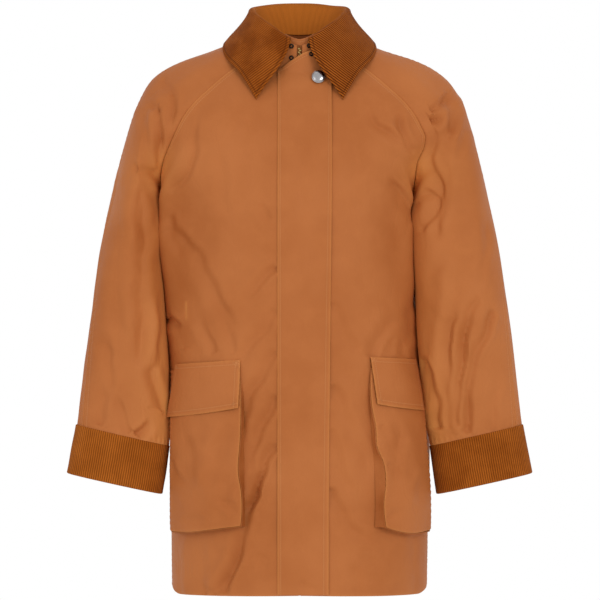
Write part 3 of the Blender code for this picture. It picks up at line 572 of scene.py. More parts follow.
def cottonFinish(name, look):
    n = Nodes(name)
    where = n.add("ShaderNodeTexCoord").outputs["Object"]
    cloth = n.cloth()
    broad = n.noise(where, 7.0, 3.0).outputs[0]
    patch = n.noise(where, 38.0, 4.0, 0.6).outputs[0]
    fleck = n.noise(cloth, 90.0, 2.0, 0.6).outputs[0]
    colour = n.mix(n.ramp(broad, 0.35, 0.68), look["deep"], look["light"])
    colour = n.mix(0.5, colour, look["cloth"])
    colour = n.mix(n.ramp(patch, 0.4, 0.75, 0.0, 0.3), colour, look["light"])
    colour = n.mix(n.ramp(fleck, 0.45, 0.75, 0.0, 0.25), colour, look["deep"])
    # Lighter edges are wear and painted highlight; then painted light lifts shaded places towards the pale colour.
    colour = n.mix(n.times(n.mark("wearAndHighlight"), look["wearAndHighlight"]), colour, look["wearAndPaintedLight"])
    colour = n.mix(n.mark("wearAndPaintedLight"), colour, look["wearAndPaintedLight"])
    gap = n.math("ABSOLUTE", n.mark("stitch"))
    line = n.ramp(gap, 0.35, 0.9, 1.0, 0.0)
    dash = n.ramp(n.math("PINGPONG", n.mark("run"), look["halfStitch"]), 0.25, 0.45)
    thread = n.times(line, dash)
    # Painted shade: near each stitched line the colour darkens towards the deep tone, where the line sinks as a
    # groove.
    dip = n.ramp(gap, 0.3, 2.6, 1.0, 0.0)
    colour = n.mix(n.times(dip, look["dip"]), colour, look["deep"])
    colour = n.mix(n.times(thread, look["stitched"]), colour, look["thread"])
    weave = n.add("ShaderNodeSeparateXYZ", None, i0=cloth)
    warp = n.math("SINE", n.times(weave.outputs[0], 2 * math.pi / look["weave"]))
    weft = n.math("SINE", n.times(weave.outputs[1], 2 * math.pi / look["weave"]))
    woven = n.times(n.times(warp, weft), 0.03)
    crush = n.noise(where, 150.0, 4.0, 0.6).outputs[0]
    height = n.plus(woven, n.times(crush, 0.22))
    height = n.plus(height, n.times(n.noise(where, 45.0, 3.0, 0.5).outputs[0], 0.5))
    height = n.plus(height, n.times(dip, -0.25))
    height = n.plus(height, n.times(thread, 0.3))
    stretched = n.add("ShaderNodeMapping", None, Vector=where, Rotation=(0.3, 0.5, 0.4), Scale=(1.0, 1.0, 0.45))
    bent = n.math("ABSOLUTE", n.math("SUBTRACT", n.noise(stretched, 16.0, 3.0, 0.55).outputs[0], 0.5))
    crease = n.times(n.ramp(bent, 0.0, 0.035, 1.0, 0.0), n.ramp(broad, 0.42, 0.6))
    height = n.plus(height, n.times(crease, -0.3))
    bump = n.add("ShaderNodeBump", None, Strength=0.7, Distance=0.001, Height=height)
    rough = n.ramp(patch, 0.3, 0.8, look["rough"] - 0.05, look["rough"] + 0.08)
    return n.finish(colour, rough, bump, sheen=0.01, sheenColour=(1.0, 0.85, 0.7), specular=0.13)


# The worn tone also serves as painted highlight on rib tops; the pale colour is for painted light.
corduroyLook = {"rib": rgb(138, 66, 8), "worn": rgb(170, 90, 26), "valley": rgb(70, 25, 0), "wearAndPaintedLight": rgb(214, 124, 44),
                "pitch": 3.35, "rough": 0.85}


def corduroyFinish(name, look):
    n = Nodes(name)
    cloth = n.cloth()
    where = n.add("ShaderNodeTexCoord").outputs["Object"]
    split = n.add("ShaderNodeSeparateXYZ", None, i0=cloth)
    wobble = n.times(n.math("SUBTRACT", n.noise(cloth, 9.0, 2.0).outputs[0], 0.5), 0.012)
    across = n.math("DIVIDE", n.plus(split.outputs[0], wobble), look["pitch"] / 100)
    wave = n.math("COSINE", n.times(across, 2 * math.pi))
    rib = n.ramp(wave, -0.95, 0.35)
    long = n.add("ShaderNodeCombineXYZ", None, i0=n.times(split.outputs[0], 6.0), i1=split.outputs[1])
    pile = n.noise(long, 26.0, 3.0, 0.65).outputs[0]
    patch = n.noise(where, 24.0, 3.0, 0.6).outputs[0]
    tint = n.mix(n.ramp(patch, 0.35, 0.7), look["rib"], look["worn"])
    tint = n.mix(n.ramp(pile, 0.35, 0.75, 0.0, 0.35), tint, look["valley"])
    # Painted light and shade on the wales: where this mark is high, rib tops lighten and valleys darken as under
    # raking light.
    paintedRibShading = n.mark("paintedRibShading")
    tint = n.mix(n.times(n.times(paintedRibShading, rib), 0.4), tint, look["worn"])
    tint = n.mix(n.times(n.mark("wearAndHighlight"), 0.55), tint, look["worn"])
    # Painted shade: the valleys between the wales darken towards the valley colour, more where the rib light and shade
    # is painted strong.
    depth = n.math("MULTIPLY_ADD", paintedRibShading, 0.4, 0.55)
    colour = n.mix(n.times(n.math("SUBTRACT", 1.0, rib), depth), tint, look["valley"])
    # Painted light lifts the rib tops most where it is set: the shaded inside of the stand and the cuffs.
    colour = n.mix(n.times(n.mark("wearAndPaintedLight"), n.math("MULTIPLY_ADD", rib, 0.6, 0.4)), colour, look["wearAndPaintedLight"])
    # Painted shade: darker in the groove along each stitched line.
    gap = n.math("ABSOLUTE", n.mark("stitch"))
    dip = n.ramp(gap, 0.2, 1.8, 1.0, 0.0)
    colour = n.mix(n.times(dip, 0.45), colour, look["valley"])
    height = n.plus(n.times(rib, 0.9), n.times(pile, 0.25))
    height = n.plus(height, n.times(dip, -0.7))
    bump = n.add("ShaderNodeBump", None, Strength=0.8, Distance=0.001, Height=height)
    return n.finish(colour, look["rough"], bump, sheen=0.04, sheenColour=(1.0, 0.75, 0.5), specular=0.06)


def metalFinish(name, colour, rough, grain):
    n = Nodes(name)
    where = n.add("ShaderNodeTexCoord").outputs["Object"]
    spot = n.noise(where, 900.0, 3.0, 0.6).outputs[0]
    shade = n.mix(n.ramp(spot, 0.35, 0.7, 0.0, 0.35), colour, tuple(c * 0.6 for c in colour[:3]) + (1.0,))
    roughness = n.ramp(spot, 0.3, 0.7, rough, rough + 0.1)
    bump = n.add("ShaderNodeBump", None, Strength=grain, Distance=0.0001, Height=spot)
    return n.finish(shade, roughness, bump, metallic=1.0)


cotton = cottonFinish("coatCotton", cottonLook)
corduroy = corduroyFinish("ribbedCorduroy", corduroyLook)
tapeLook = dict(cottonLook, wearAndPaintedLight=rgb(180, 110, 60), cloth=rgb(150, 88, 44), deep=rgb(128, 70, 32),
                light=rgb(160, 96, 50), rough=0.8)
tape = cottonFinish("wovenTape", tapeLook)
# Painted shade: a darker copy of the coat cotton for the pocket gussets, which lie in shade.
shaded = cottonFinish("gussetCottonPaintedShade", dict(cottonLook, cloth=rgb(160, 88, 38), deep=rgb(146, 76, 30)))
# The cotton for the band and facing, with a paler colour for the painted light that lifts them.
lining = cottonFinish("innerCottonPaintedLight", dict(cottonLook, wearAndPaintedLight=rgb(255, 184, 96)))
brass = metalFinish("satinBrass", rgb(206, 172, 104), 0.28, 0.2)
nickel = metalFinish("polishedNickel", rgb(176, 174, 176), 0.16, 0.05)
# Dark metal for the neck snap rings.
darkRing = metalFinish("darkRingMetal", rgb(58, 50, 44), 0.3, 0.1)
print("finishes made")


# Where no stitched line is near, the distance to one is given as this.
unstitched = 30.0
plain = {"stitch": unstitched, "run": 0.0}


def stitchAlong(lines):  # nearest of several stitched lines: distance from each, and run along it
    gap = np.full(lines[0][0].shape, 50.0)
    run = np.zeros_like(gap)
    for distance, along in lines:
        near = np.abs(distance) < np.abs(gap)
        gap = np.where(near, distance, gap)
        run = np.where(near, along, run)
    return {"stitch": gap, "run": run}


# Fronts and back. Columns, and rows above and below the underarm, are counted for each.
bodyLook = {"front": (104, 78, 196), "back": (62, 58, 146), "wall": 1.4, "seamRoll": 1.1, "seamLift": 0.4,
            "hemStitch": 38.0, "covered": {1: 40.0, -1: 27.0}, "plump": {1: 2.2, -1: 3.2},
            "plumpPlace": ((36, 16), (-238, 50)), "wearAndPaintedLight": {"front": 0.9, "back": 0.3}, "paintedLightReach": 20,
            "paintedLightHead": (-130, -210), "paintedLightFoot": (-560, -660), "seamGather": 5, "seamStitch": 6.0,
            "paintedPinchLight": -168.0, "paintedPinchLightFoot": (-400, -398), "paintedPinchLightHead": (-374, -371)}
frontFolds = {
    "right": [
        fold(2.4, 6, (-158, -87), (-157, -130), (-158, -160), (-176, -190), (-194, -211), step=-0.8, ends=(0.2, 0.1)),
        fold(3.0, 7, (-197, -246), (-172, -280), (-143.7, -320), (-114.7, -378), (-93, -451), ends=(0.04, 0.3)),
        fold(2.0, 7, (-194, -262), (-183, -290), (-172, -322), ends=(0.05, 0.5)),
        fold(1.6, 9, (-81, -90), (-81, -172)),
        fold(1.4, 7, (-114.7, -145), (-114.7, -197), (-104, -255)),
        fold(1.8, 5, (-60, -225), (-42, -255)),
        fold(2.6, 5, (-34.8, -320), (-60, -346), (-82, -382), ends=(0.03, 0.4)),
        fold(2.2, 6, (-34.8, -385), (-62, -425), (-100, -480), ends=(0.03, 0.4)),
        fold(2.4, 6, (-34.8, -443.6), (-74.7, -523.5), (-85.7, -596), ends=(0.03, 0.3)),
        fold(3.2, 6, (-34.8, -509), (-67.4, -596), (-78.4, -669), ends=(0.03, 0.3)),
        fold(3.4, 5, (-57, -618), (-66, -655), (-74.7, -690.5)),
        fold(4.2, 6, (-34.8, -581.6), (-63.8, -647), (-82, -712), (-114.7, -807), ends=(0.03, 0.02)),
        fold(2.2, 5, (-84, -722), (-102, -772), (-130, -807), ends=(0.3, 0.02)),
        fold(1.2, 3, (-63, -747), (-41, -757)), fold(1.2, 3, (-66, -756), (-44, -764)),
        fold(2.4, 5, (-146, -392), (-136, -425), (-127, -449), ends=(0.3, 0.05)),
        fold(2.2, 5, (-111, -390), (-104, -425), (-95, -449), ends=(0.3, 0.05)),
        fold(3.6, 4.6, (-196, -397), (-173.9, -408.5), ends=(0.02, 0.5)),
        fold(2.2, 8, (-176, -446), (-181, -420), (-179, -402), ends=(0.05, 0.3)),
        fold(0.9, 4.2, (-176.9, -715), (-176.9, -806), ends=(0.1, 0.02)),
        fold(1.8, 7, (-150, -722), (-140, -806), ends=(0.3, 0.02)),
    ],
    "left": [
        fold(3.4, 6, (131.6, -182), (145, -208), (157, -226), (171.5, -262), step=-0.4, ends=(0.25, 0.1)),
        fold(3.0, 5, (95.2, -80), (114, -106), (135, -124), (157, -146)),
        fold(3.8, 5, (149.6, -87.3), (153.2, -123.7), (178, -149), ends=(0.25, 0.1)),
        fold(1.8, 5, (120.6, -36.6), (131.6, -58.5)),
        fold(2.8, 6, (157, -392.6), (136, -408), (120.6, -429), (106, -458), ends=(0.3, 0.03)),
        fold(2.2, 6, (176, -340), (170, -392), (156, -440), ends=(0.3, 0.1)),
        fold(1.8, 5, (140, -424), (136, -452), ends=(0.3, 0.05)),
        fold(1.6, 5, (158, -430), (155, -455), ends=(0.3, 0.05)),
        fold(2.4, 8, (44.4, -494), (80.7, -567), (109.7, -654), ends=(0.05, 0.3)),
        fold(3.0, 7, (44.4, -647), (66.2, -690.5), (117, -741), ends=(0.04, 0.4)),
        fold(1.6, 9, (88, -120), (84, -190), (92, -260)),
        fold(1.8, 7, (46, -372), (70, -420), (98, -450), ends=(0.05, 0.3)),
        fold(1.6, 7, (46, -560), (60, -612), (84, -668), ends=(0.05, 0.3)),
        fold(1.2, 3, (86, -742), (112, -745)), fold(1.2, 3, (84, -752), (116, -754)),
        fold(0.9, 4.2, (170.3, -715), (170.3, -806), ends=(0.1, 0.02)),
        fold(1.8, 7, (80, -758), (92, -806), ends=(0.3, 0.02)),
    ],
}
backFolds = [
    fold(2.6, 12, (-60, -330), (-52, -520), (-64, -806), ends=(0.25, 0.02)),
    fold(2.4, 14, (48, -360), (60, -560), (54, -806), ends=(0.25, 0.02)),
    fold(2.4, 9, (-190, -246), (-150, -262), (-116, -300), (-100, -360), ends=(0.05, 0.4)),
    fold(2.6, 9, (192, -245), (152, -258), (118, -302), (96, -352), ends=(0.05, 0.4)),
    fold(1.8, 9, (-44, -250), (8, -266), (50, -258)),
    fold(2.0, 9, (-128, -430), (-118, -600), (-130, -806), ends=(0.3, 0.02)),
    fold(2.0, 9, (122, -420), (128, -620), (118, -806), ends=(0.3, 0.02)),
    fold(1.8, 8, (-122, -60), (-88, -118), (-70, -160), ends=(0.05, 0.5)),
    fold(1.8, 8, (124, -62), (86, -120), (66, -158), ends=(0.05, 0.5)),
    fold(1.6, 10, (-26, -96), (4, -150), (-6, -205)),
    fold(2.0, 7, (-186, -330), (-150, -372), (-120, -440), ends=(0.05, 0.4)),
    fold(2.2, 7, (186, -350), (148, -388), (126, -452), ends=(0.05, 0.4)),
]


def bodyPanel(kind, folds, seed, side=1):
    columns, above, beneath = bodyLook[kind]
    across = even(columns, "panel", 290)
    down = np.concatenate([even(above, "joint", 210)[:-2], [1.0], 1 + even(beneath, "hem", 565)[3:]])
    points = np.array([bodyRow(kind, across, s) for s in down])
    if kind == "front":
        toward = points[:, 1] - points[:, 0]
        points[:, 0] = points[:, 0] + toward * (form["zipEdge"] / toward[:, :1])
        points[:, 1] = (points[:, 0] + points[:, 2]) / 2
    u, v = lengths(points)
    border = fromEnd(u)
    points = blended(points, int(np.argmin(np.abs(down - 1))), border)
    if kind == "back":
        points[:, 0, 0] = 0
        points = np.concatenate([points[:, :0:-1] * mirror, points], axis=1)
        border, v = (np.concatenate([each[:, :0:-1], each], axis=1) for each in (border, v))
        u = lengths(points)[0]
    out = normals(points, 1 if kind == "front" else -1)
    below, level = fromFoot(v), points[..., 2]
    calm = smoothStep(1, 14, border) * smoothStep(0, 30, v)
    move = foldMove(points, side, folds) * calm
    uneven = unevenness(points, seed, 150, 1.5) + unevenness(points, seed + 100, 60, 0.55)
    move += uneven * calm * (smoothStep(0, 60, u) if kind == "front" else 1)
    if kind == "front":  # under the storm flap the cloth lies flat
        edge = bodyLook["covered"][side]
        move = np.minimum(move, 0.1 + 8 * smoothStep(edge, edge + 12, u))
    move += bodyLook["seamLift"] * np.exp(-border / 6) - turnedEdge(border, bodyLook["seamRoll"])
    move += pucker(v, border - bodyLook["seamGather"], seed) * smoothStep(0.6, 3, border)
    if kind == "front":
        move += plumped(bodyLook["plump"][side], border, level, bodyLook["plumpPlace"])
    move += pucker(u, below - bodyLook["hemStitch"], seed + 1, 0.22, 9) * smoothStep(0, 30, u)
    move -= turnedEdge(below, 1.0)
    moved = points + out * move[..., None]
    marks = stitchAlong([(border - bodyLook["seamStitch"], v)])
    # Painted light: beside the armhole seam, where shade falls between sleeve and body, the cloth is lifted towards
    # the pale colour within a band of heights, fading away from the seam and weaker on the back.
    hidden = smoothStep(*bodyLook["paintedLightHead"], level) * (1 - smoothStep(*bodyLook["paintedLightFoot"], level))
    marks["wearAndPaintedLight"] = bodyLook["wearAndPaintedLight"][kind] * np.exp(-border / bodyLook["paintedLightReach"]) * hidden
    # Lighter at the seam edge and the hem: wear and painted highlight.
    marks["wearAndHighlight"] = np.exp(-border / 1.6) + 0.5 * np.exp(-below / 1.5)
    # A painted highlight: a thin light vertical line on the wearer's right front, where a pinched fold stands.
    if kind == "front" and side < 0:
        x, z = asSeen(points, side)
        paintedPinchLight = smoothStep(*bodyLook["paintedPinchLightFoot"], z) * (1 - smoothStep(*bodyLook["paintedPinchLightHead"], z))
        marks["wearAndHighlight"] = marks["wearAndHighlight"] + 0.9 * np.exp(-np.abs(x - bodyLook["paintedPinchLight"]) / 1.3) * paintedPinchLight
    return moved, marks


for side, seed in (("left", 11), ("right", 23)):
    points, marks = bodyPanel("front", frontFolds[side], seed, signs[side])
    clothPiece(side + "Front", points, bodyLook["wall"], cotton, ["front_" + side], signs[side],
               marks=marks)
points, marks = bodyPanel("back", backFolds, 37)
clothPiece("backPanel", points, bodyLook["wall"], cotton, ["back"], turn=True, marks=marks)


# Sleeves. "nearer" is how much closer to the body each sleeve's inner side hangs, by height.
sleeveLook = {
    "front": (84, 90, 132), "back": (48, 62, 94), "wall": 1.4, "tuck": 1.8, "under": 2.2,
    "plump": {1: 3.0, -1: 4.0}, "plumpPlace": ((34, 16), (-238, 50)),
    "full": {1: 2.0, -1: 3.0}, "fullPlace": ((30, 16), (-215, 34)),
    "wearAndPaintedLight": 0.9, "paintedLightReach": 24,
    "nearer": {
        1: drawn(((-600, 0), (-582, 0.6), (-566, 2.6), (-545, 3.2), (-510, 1.0), (-440, 0.4), (-380, 1.3),
                  (-340, 1.2), (-300, 0.3), (-280, 0))),
        -1: drawn(((-600, 0), (-582, 0.6), (-566, 1.8), (-545, 2.0), (-512, 1.3), (-490, 1.4), (-440, 0.2),
                   (-375, 0.9), (-345, 1.2), (-310, 0.4), (-280, 0))),
    },
    "nearerReach": 35,
}
sleeveFolds = {
    "right": [
        fold(3.0, 6, (-206.5, -45.3), (-197.6, -51.2), (-191.4, -67.2), (-190.5, -99.2), (-194.2, -126.4),
             step=-0.7, ends=(0.1, 0.3)),
        fold(5.6, 4.7, (-209.7, -83.2), (-206.5, -108), (-205.1, -140), (-202, -162.8), (-202.8, -181),
             step=-0.5, ends=(0.08, 0.3)),
        fold(2.6, 5, (-226, -84), (-207.7, -84), ends=(0.5, 0.05)),
        fold(2.2, 5, (-226.9, -83.2), (-228.4, -108), (-226.9, -149)),
        fold(3.6, 5, (-248.8, -174.2), (-235.2, -177.9), (-204.2, -186.5), ends=(0.35, 0.05)),
        fold(3.4, 8, (-231, -200), (-229, -260), (-231, -340), (-232, -420), (-231, -479), ends=(0.1, 0.2)),
        fold(2.4, 7, (-214, -205), (-212, -240), (-219, -290)),
        fold(2.2, 6, (-284, -423), (-282.5, -469), (-286, -550)),
        fold(-2.0, 7, (-249.7, -194.6), (-247.5, -235), (-252, -300)),
        fold(-2.4, 6, (-213, -340), (-216, -415), (-214, -473.6)),
        fold(3.8, 5, (-243, -569), (-218, -546), ends=(0.02, 0.5)),
        fold(3.2, 5, (-272, -508), (-262, -536), (-250, -567), ends=(0.4, 0.02)),
        fold(3.2, 6, (-215.6, -464), (-213.3, -487), (-202, -528), (-204, -537)),
        fold(1.8, 8, (-262, -300), (-266, -380), (-262, -440)),
        fold(2.0, 6, (-296, -470), (-294, -520), (-298, -556), ends=(0.4, 0.02)),
    ],
    "left": [
        fold(4.8, 5, (193, -88), (206, -80), (219, -69), (224, -60), ends=(0.03, 0.4)),
        fold(4.4, 5, (193, -103), (206, -99), (220, -100), ends=(0.03, 0.5)),
        fold(3.6, 5, (219.3, -57.7), (223.9, -108), (220, -137)),
        fold(4.2, 5, (224, -66), (231, -95), (222.3, -131), ends=(0.3, 0.2)),
        fold(2.0, 6, (240, -118), (241, -140), (236, -168), ends=(0.4, 0.3)),
        fold(2.8, 6, (201, -117), (196, -144.6), (197, -170), (206, -205), (197, -240)),
        fold(3.8, 5.5, (186, -205), (198, -228), (186, -256), (180, -270), ends=(0.1, 0.2)),
        fold(2.4, 8, (212, -160), (216, -205), (206, -250), (192, -285)),
        fold(1.6, 4, (277, -240), (275.4, -305), (268.2, -363.5)),
        fold(3.4, 6, (232, -385), (222.3, -421.8), (217.3, -487), (222.3, -562), ends=(0.2, 0.02)),
        fold(4.4, 5.0, (266, -362), (251.4, -399.6), (236.8, -479.5), (234.6, -560), ends=(0.2, 0.02)),
        fold(4.0, 5.0, (290, -385), (280.5, -407), (255, -479.5), (248, -570), ends=(0.2, 0.02)),
        fold(4.6, 6, (182.3, -450), (196.8, -508.8), (206.5, -562), ends=(0.1, 0.02)),
        fold(-2.0, 8, (216, -300), (218, -360), (206, -420)),
        fold(1.8, 6, (292, -470), (290, -520), (284, -566), ends=(0.4, 0.02)),
    ],
}
sleeveBackFolds = {
    "right": [
        fold(3.0, 11, (-205, -300), (-240, -330), (-280, -345)),
        fold(3.4, 10, (-200, -360), (-240, -372), (-285, -380)),
        fold(2.4, 11, (-210, -430), (-250, -420), (-290, -415)),
        fold(2.6, 9, (-240, -470), (-236, -566), ends=(0.4, 0.02)),
        fold(2.2, 8, (-280, -480), (-274, -566), ends=(0.4, 0.02)),
        fold(2.2, 8, (-190, -150), (-214, -190), (-226, -260)),
    ],
    "left": [
        fold(3.0, 11, (205, -290), (245, -322), (284, -330)),
        fold(3.2, 10, (200, -372), (240, -366), (285, -372)),
        fold(2.4, 12, (208, -440), (250, -436), (290, -420)),
        fold(2.6, 9, (226, -480), (230, -570), ends=(0.4, 0.02)),
        fold(2.2, 9, (270, -470), (266, -566), ends=(0.4, 0.02)),
        fold(2.2, 8, (188, -146), (210, -196), (222, -250)),
    ],
}


def sleeveRows(half):
    columns, above, beneath = sleeveLook[half]
    across = even(columns, "panel", 210)
    rows = []
    for v in even(above, "joint", 270)[:-2]:
        seam = 0.5 - 6 * v / 360
        rows.append(yoke("sleeve", seam * across if half == "front" else seam + (1 - seam) * across, v))
    for w in np.concatenate([[0.0], even(beneath, "joint", 350)[2:]]):
        seam = 0.5 - follow(form["sleeve"], w)[6] / 360
        t = seam * across if half == "front" else seam + (1 - seam) * across
        rows.append(loop("sleeve", t, w) + sideways * form["split"])
    return np.array(rows)


def sleevePanel(half, folds, seed, side):
    points = sleeveRows(half)
    u, v = lengths(points)
    joint = sleeveLook[half][1] + 2
    points = blended(points, joint, np.minimum(u, fromEnd(u)))
    out = normals(points)
    inner, outer = (u, fromEnd(u)) if half == "front" else (fromEnd(u), u)
    below, level = fromFoot(v), points[..., 2]
    raglan = 1 - smoothStep(-16, -2, v - v[joint])
    calm = smoothStep(3, 16, inner) * smoothStep(1, 12, outer) * smoothStep(0, 30, v)
    move = foldMove(points, side, folds) * calm * smoothStep(-4, 2, below)
    uneven = unevenness(points, seed, 120, 1.5) + unevenness(points, seed + 100, 55, 0.5)
    move += uneven * calm * smoothStep(-3, 12, below)
    move -= sleeveLook["tuck"] * (1 - smoothStep(0, 2.6, inner)) * raglan
    move -= turnedEdge(inner, 1.0) * (1 - raglan) + turnedEdge(outer, 1.0)
    if half == "front":
        for rise in ("plump", "full"):
            move += plumped(sleeveLook[rise][side], inner, level, sleeveLook[rise + "Place"])
    move += pucker(v, outer - bodyLook["seamGather"], seed) * smoothStep(0.6, 3, outer)
    move += pucker(v, inner - 6, seed + 1) * smoothStep(2, 6, inner)
    move += pucker(u, below, seed + 2, 0.5, 9) * smoothStep(0.5, 3, below)
    inwards = unit(np.gradient(points, axis=1)) * (-1 if half == "front" else 1)
    points = points + inwards * (sleeveLook["under"] * (1 - smoothStep(0, 3, inner)) * raglan)[..., None]
    line = sleeveLook["nearer"][side]
    nearer = follow(line, np.clip(level, *line[0][[0, -1]]))[..., 0] * np.exp(-inner / sleeveLook["nearerReach"])
    points = points - sideways * nearer[..., None]
    marks = stitchAlong([(outer - bodyLook["seamStitch"], v)])
    # Painted light: the sleeve's inner side, where shade falls between sleeve and body, is lifted towards the pale
    # colour from near the underarm down, fading away from the seam.
    hidden = smoothStep(*bodyLook["paintedLightHead"], points[..., 2])
    marks["wearAndPaintedLight"] = sleeveLook["wearAndPaintedLight"] * np.exp(-inner / sleeveLook["paintedLightReach"]) * hidden
    # Lighter along the outer seam: wear and painted highlight.
    marks["wearAndHighlight"] = 0.4 * np.exp(-outer / 1.2)
    return points + out * move[..., None], marks


for side, seed in (("left", 41), ("right", 53)):
    for half, folds, later in (("front", sleeveFolds, 0), ("back", sleeveBackFolds, 5)):
        points, marks = sleevePanel(half, folds[side], seed + later, signs[side])
        clothPiece(side + "Sleeve" + half.capitalize(), points, sleeveLook["wall"], cotton,
                   ["sleeve_" + half + "_" + side], signs[side], marks=marks)


# Cuffs.
# The cuffs get weak painted light and shade on their wales, and painted light lifts each cuff evenly, the right cuff
# more.
cuffLook = {"wall": 2.6, "columns": 216, "rows": 30, "flare": 1.6, "ribs": 108, "paintedRibShading": 0.15,
            "wearAndPaintedLight": {"left": 0.16, "right": 0.3}}


def cuffPanel(wearAndPaintedLight, seed):
    around = np.linspace(0, 1, cuffLook["columns"] + 1)
    down = even(cuffLook["rows"], "corduroy", 74)
    points = np.array([loop("cuff", around, w, cuffLook["flare"]) + sideways * form["split"] for w in down])
    u, v = lengths(points)
    out = normals(points)
    out[:, 0] = out[:, -1] = unit(out[:, 1] + out[:, -2])
    move = unevenness(points, seed, 60, 0.5)
    move[:, -1] = move[:, 0]
    move -= turnedEdge(fromFoot(v), 2.2)
    move -= turnedEdge(v, 1.2)
    flat = np.stack([u / u[:, -1:] * cuffLook["ribs"] * corduroyLook["pitch"], v], axis=2)
    # Lighter at the top and bottom edges: wear and painted highlight.
    wearAndHighlight = 0.7 * np.exp(-fromFoot(v) / 2.0) + 0.8 * np.exp(-v / 1.2)
    marks = {"stitch": unstitched, "wearAndHighlight": wearAndHighlight, "paintedRibShading": cuffLook["paintedRibShading"], "wearAndPaintedLight": wearAndPaintedLight}
    return points + out * move[..., None], marks, flat


for side, seed in (("left", 61), ("right", 67)):
    points, marks, flat = cuffPanel(cuffLook["wearAndPaintedLight"][side], seed)
    clothPiece(side + "Cuff", points, cuffLook["wall"], corduroy, ["cuff_" + side],
               signs[side], joined=True, marks=marks, flat=flat)


# Collar.
collarLook = {"wall": 2.2, "columns": 136, "standRows": 20, "rollRows": 14, "fallRows": 60, "footStarts": 3.0,
              "rollStarts": 10.0}


def collarSection(t):
    low = collarLook["footStarts"] + (180 - collarLook["footStarts"]) * t
    high = collarLook["rollStarts"] + (180 - collarLook["rollStarts"]) * t
    foot = follow(form["neckSeam"], low) - away(low) * form["standDepth"] + upwards * form["standRise"]
    rim = follow(form["roll"], high)
    radius = form["rollRadius"]
    edge = follow(form["collarEdge"], t)
    over = rim + away(high) * 2 * radius
    up = foot + (rim - foot) * np.linspace(0, 1, collarLook["standRows"] + 1)[:-1, None]
    turn = np.linspace(0, math.pi, collarLook["rollRows"] + 1)[:-1, None]
    bend = rim + away(high) * radius * (1 - np.cos(turn)) + upwards * radius * np.sin(turn)
    leave = unit(-upwards + away(high) * 0.5)
    arrive = unit(edge - over + away(high) * np.linalg.norm(edge - over) * 0.05)
    fall = curve(over, edge, leave, arrive, even(collarLook["fallRows"], "corduroy", 95)[2:])
    return np.concatenate([up, bend, fall])


def collarPiece():
    places = even(collarLook["columns"], "corduroy", 270)[:-2]
    places = np.append(places[places < 0.995], 1.0)
    half = np.array([collarSection(t) for t in places])
    half[-1, :, 0] = 0
    whole = np.concatenate([half, half[-2::-1] * mirror])
    out = normals(whole, -1)
    edge = whole[:, -1]
    along = np.concatenate([[0], np.cumsum(np.linalg.norm(np.diff(edge, axis=0), axis=1))])
    along -= along[len(places) - 1]
    tangent = unit(np.gradient(edge, axis=0))
    back = whole - edge[:, None]
    v, u = lengths(whole)
    pastRoll = v - v[:, [collarLook["standRows"]]]
    fallen = smoothStep(0, 8, pastRoll)
    slide = along[:, None] + (back * tangent[:, None]).sum(axis=2)
    wing = edge[int(0.3 * len(places))] - edge[1]
    level = along[0] + (whole[:len(places)] - edge[0]) @ unit(wing)
    level = np.concatenate([level, -level[-2::-1]])
    share = smoothStep(0.36, 0.5, np.append(places, places[-2::-1]))[:, None]
    cut = along[:, None] + (level + (slide - level) * share - along[:, None]) * fallen
    outer = fromEnd(v)
    flat = np.stack([cut, outer], axis=2)
    front = np.minimum(distanceFrom(whole[0], whole), distanceFrom(whole[-1], whole))
    isFall = pastRoll > 0
    move = unevenness(whole, 71, 70, 0.8) * smoothStep(0, 20, outer)
    move -= turnedEdge(outer, 2.0) + turnedEdge(front, 2.0) * isFall
    # Lighter at the outer and front edges and along the roll: wear and painted highlight.
    wearAndHighlight = np.exp(-outer / 2.2) + np.exp(-front / 2.2) + 0.4 * bell(pastRoll, 9, 7)
    # Painted light and shade on the wales, strong on the fall of the wearer's left wing and weak elsewhere.
    paintedRibShading = smoothStep(-10, 10, whole[..., 0]) * 0.9 * isFall + 0.1
    # Painted light lifts the shaded inside of the stand, fading out past the roll.
    marks = {"stitch": np.where(isFall, np.minimum(outer, front) - 5.0, unstitched), "run": u, "wearAndHighlight": wearAndHighlight,
             "paintedRibShading": paintedRibShading, "wearAndPaintedLight": 1.0 - smoothStep(-2, 12, pastRoll)}
    return whole + out * move[..., None], marks, flat


def distanceFrom(line, points):  # nearest distance to a border's points
    flatPoints = points.reshape(-1, 3)
    best = np.full(len(flatPoints), 1e9)
    for spot in line[::2]:
        best = np.minimum(best, np.linalg.norm(flatPoints - spot, axis=1))
    best = np.minimum(best, np.linalg.norm(flatPoints - line[-1], axis=1))
    return best.reshape(points.shape[:2])


points, marks, flat = collarPiece()
clothPiece("cordCollar", points, collarLook["wall"], corduroy, ["collar"], turn=True, marks=marks,
           flat=flat)


# Band and facing inside the neck.
# Painted light lifts the band inside the neck, more towards the back, and the whole facing inside the back neck, where
# shade falls.
bandLook = {"wall": 1.4, "rows": 16, "headDrop": 3.0, "wearAndPaintedLight": 0.8, "paintedLightFrom": (-20, 45)}
facingLook = {"wall": 1.2, "inside": 2.6, "columns": 60, "rows": 22, "reach": (0.02, 0.25), "width": 0.985,
              "wearAndPaintedLight": 0.7}


def bandPiece():
    low = np.concatenate([[3, 4], np.linspace(5, 180, 90)])
    high = np.concatenate([[3, 10], 10 + 170 * (np.linspace(5, 180, 90) - 3) / 177])
    foot = stand(low, 0.0) + upwards * form["standRise"]
    head = stand(high, 1.0) - upwards * bandLook["headDrop"]
    half = np.array([foot + (head - foot) * rise for rise in np.linspace(1, 0, bandLook["rows"])])
    half[:, -1, 0] = 0
    return np.concatenate([half, half[:, -2::-1] * mirror], axis=1)


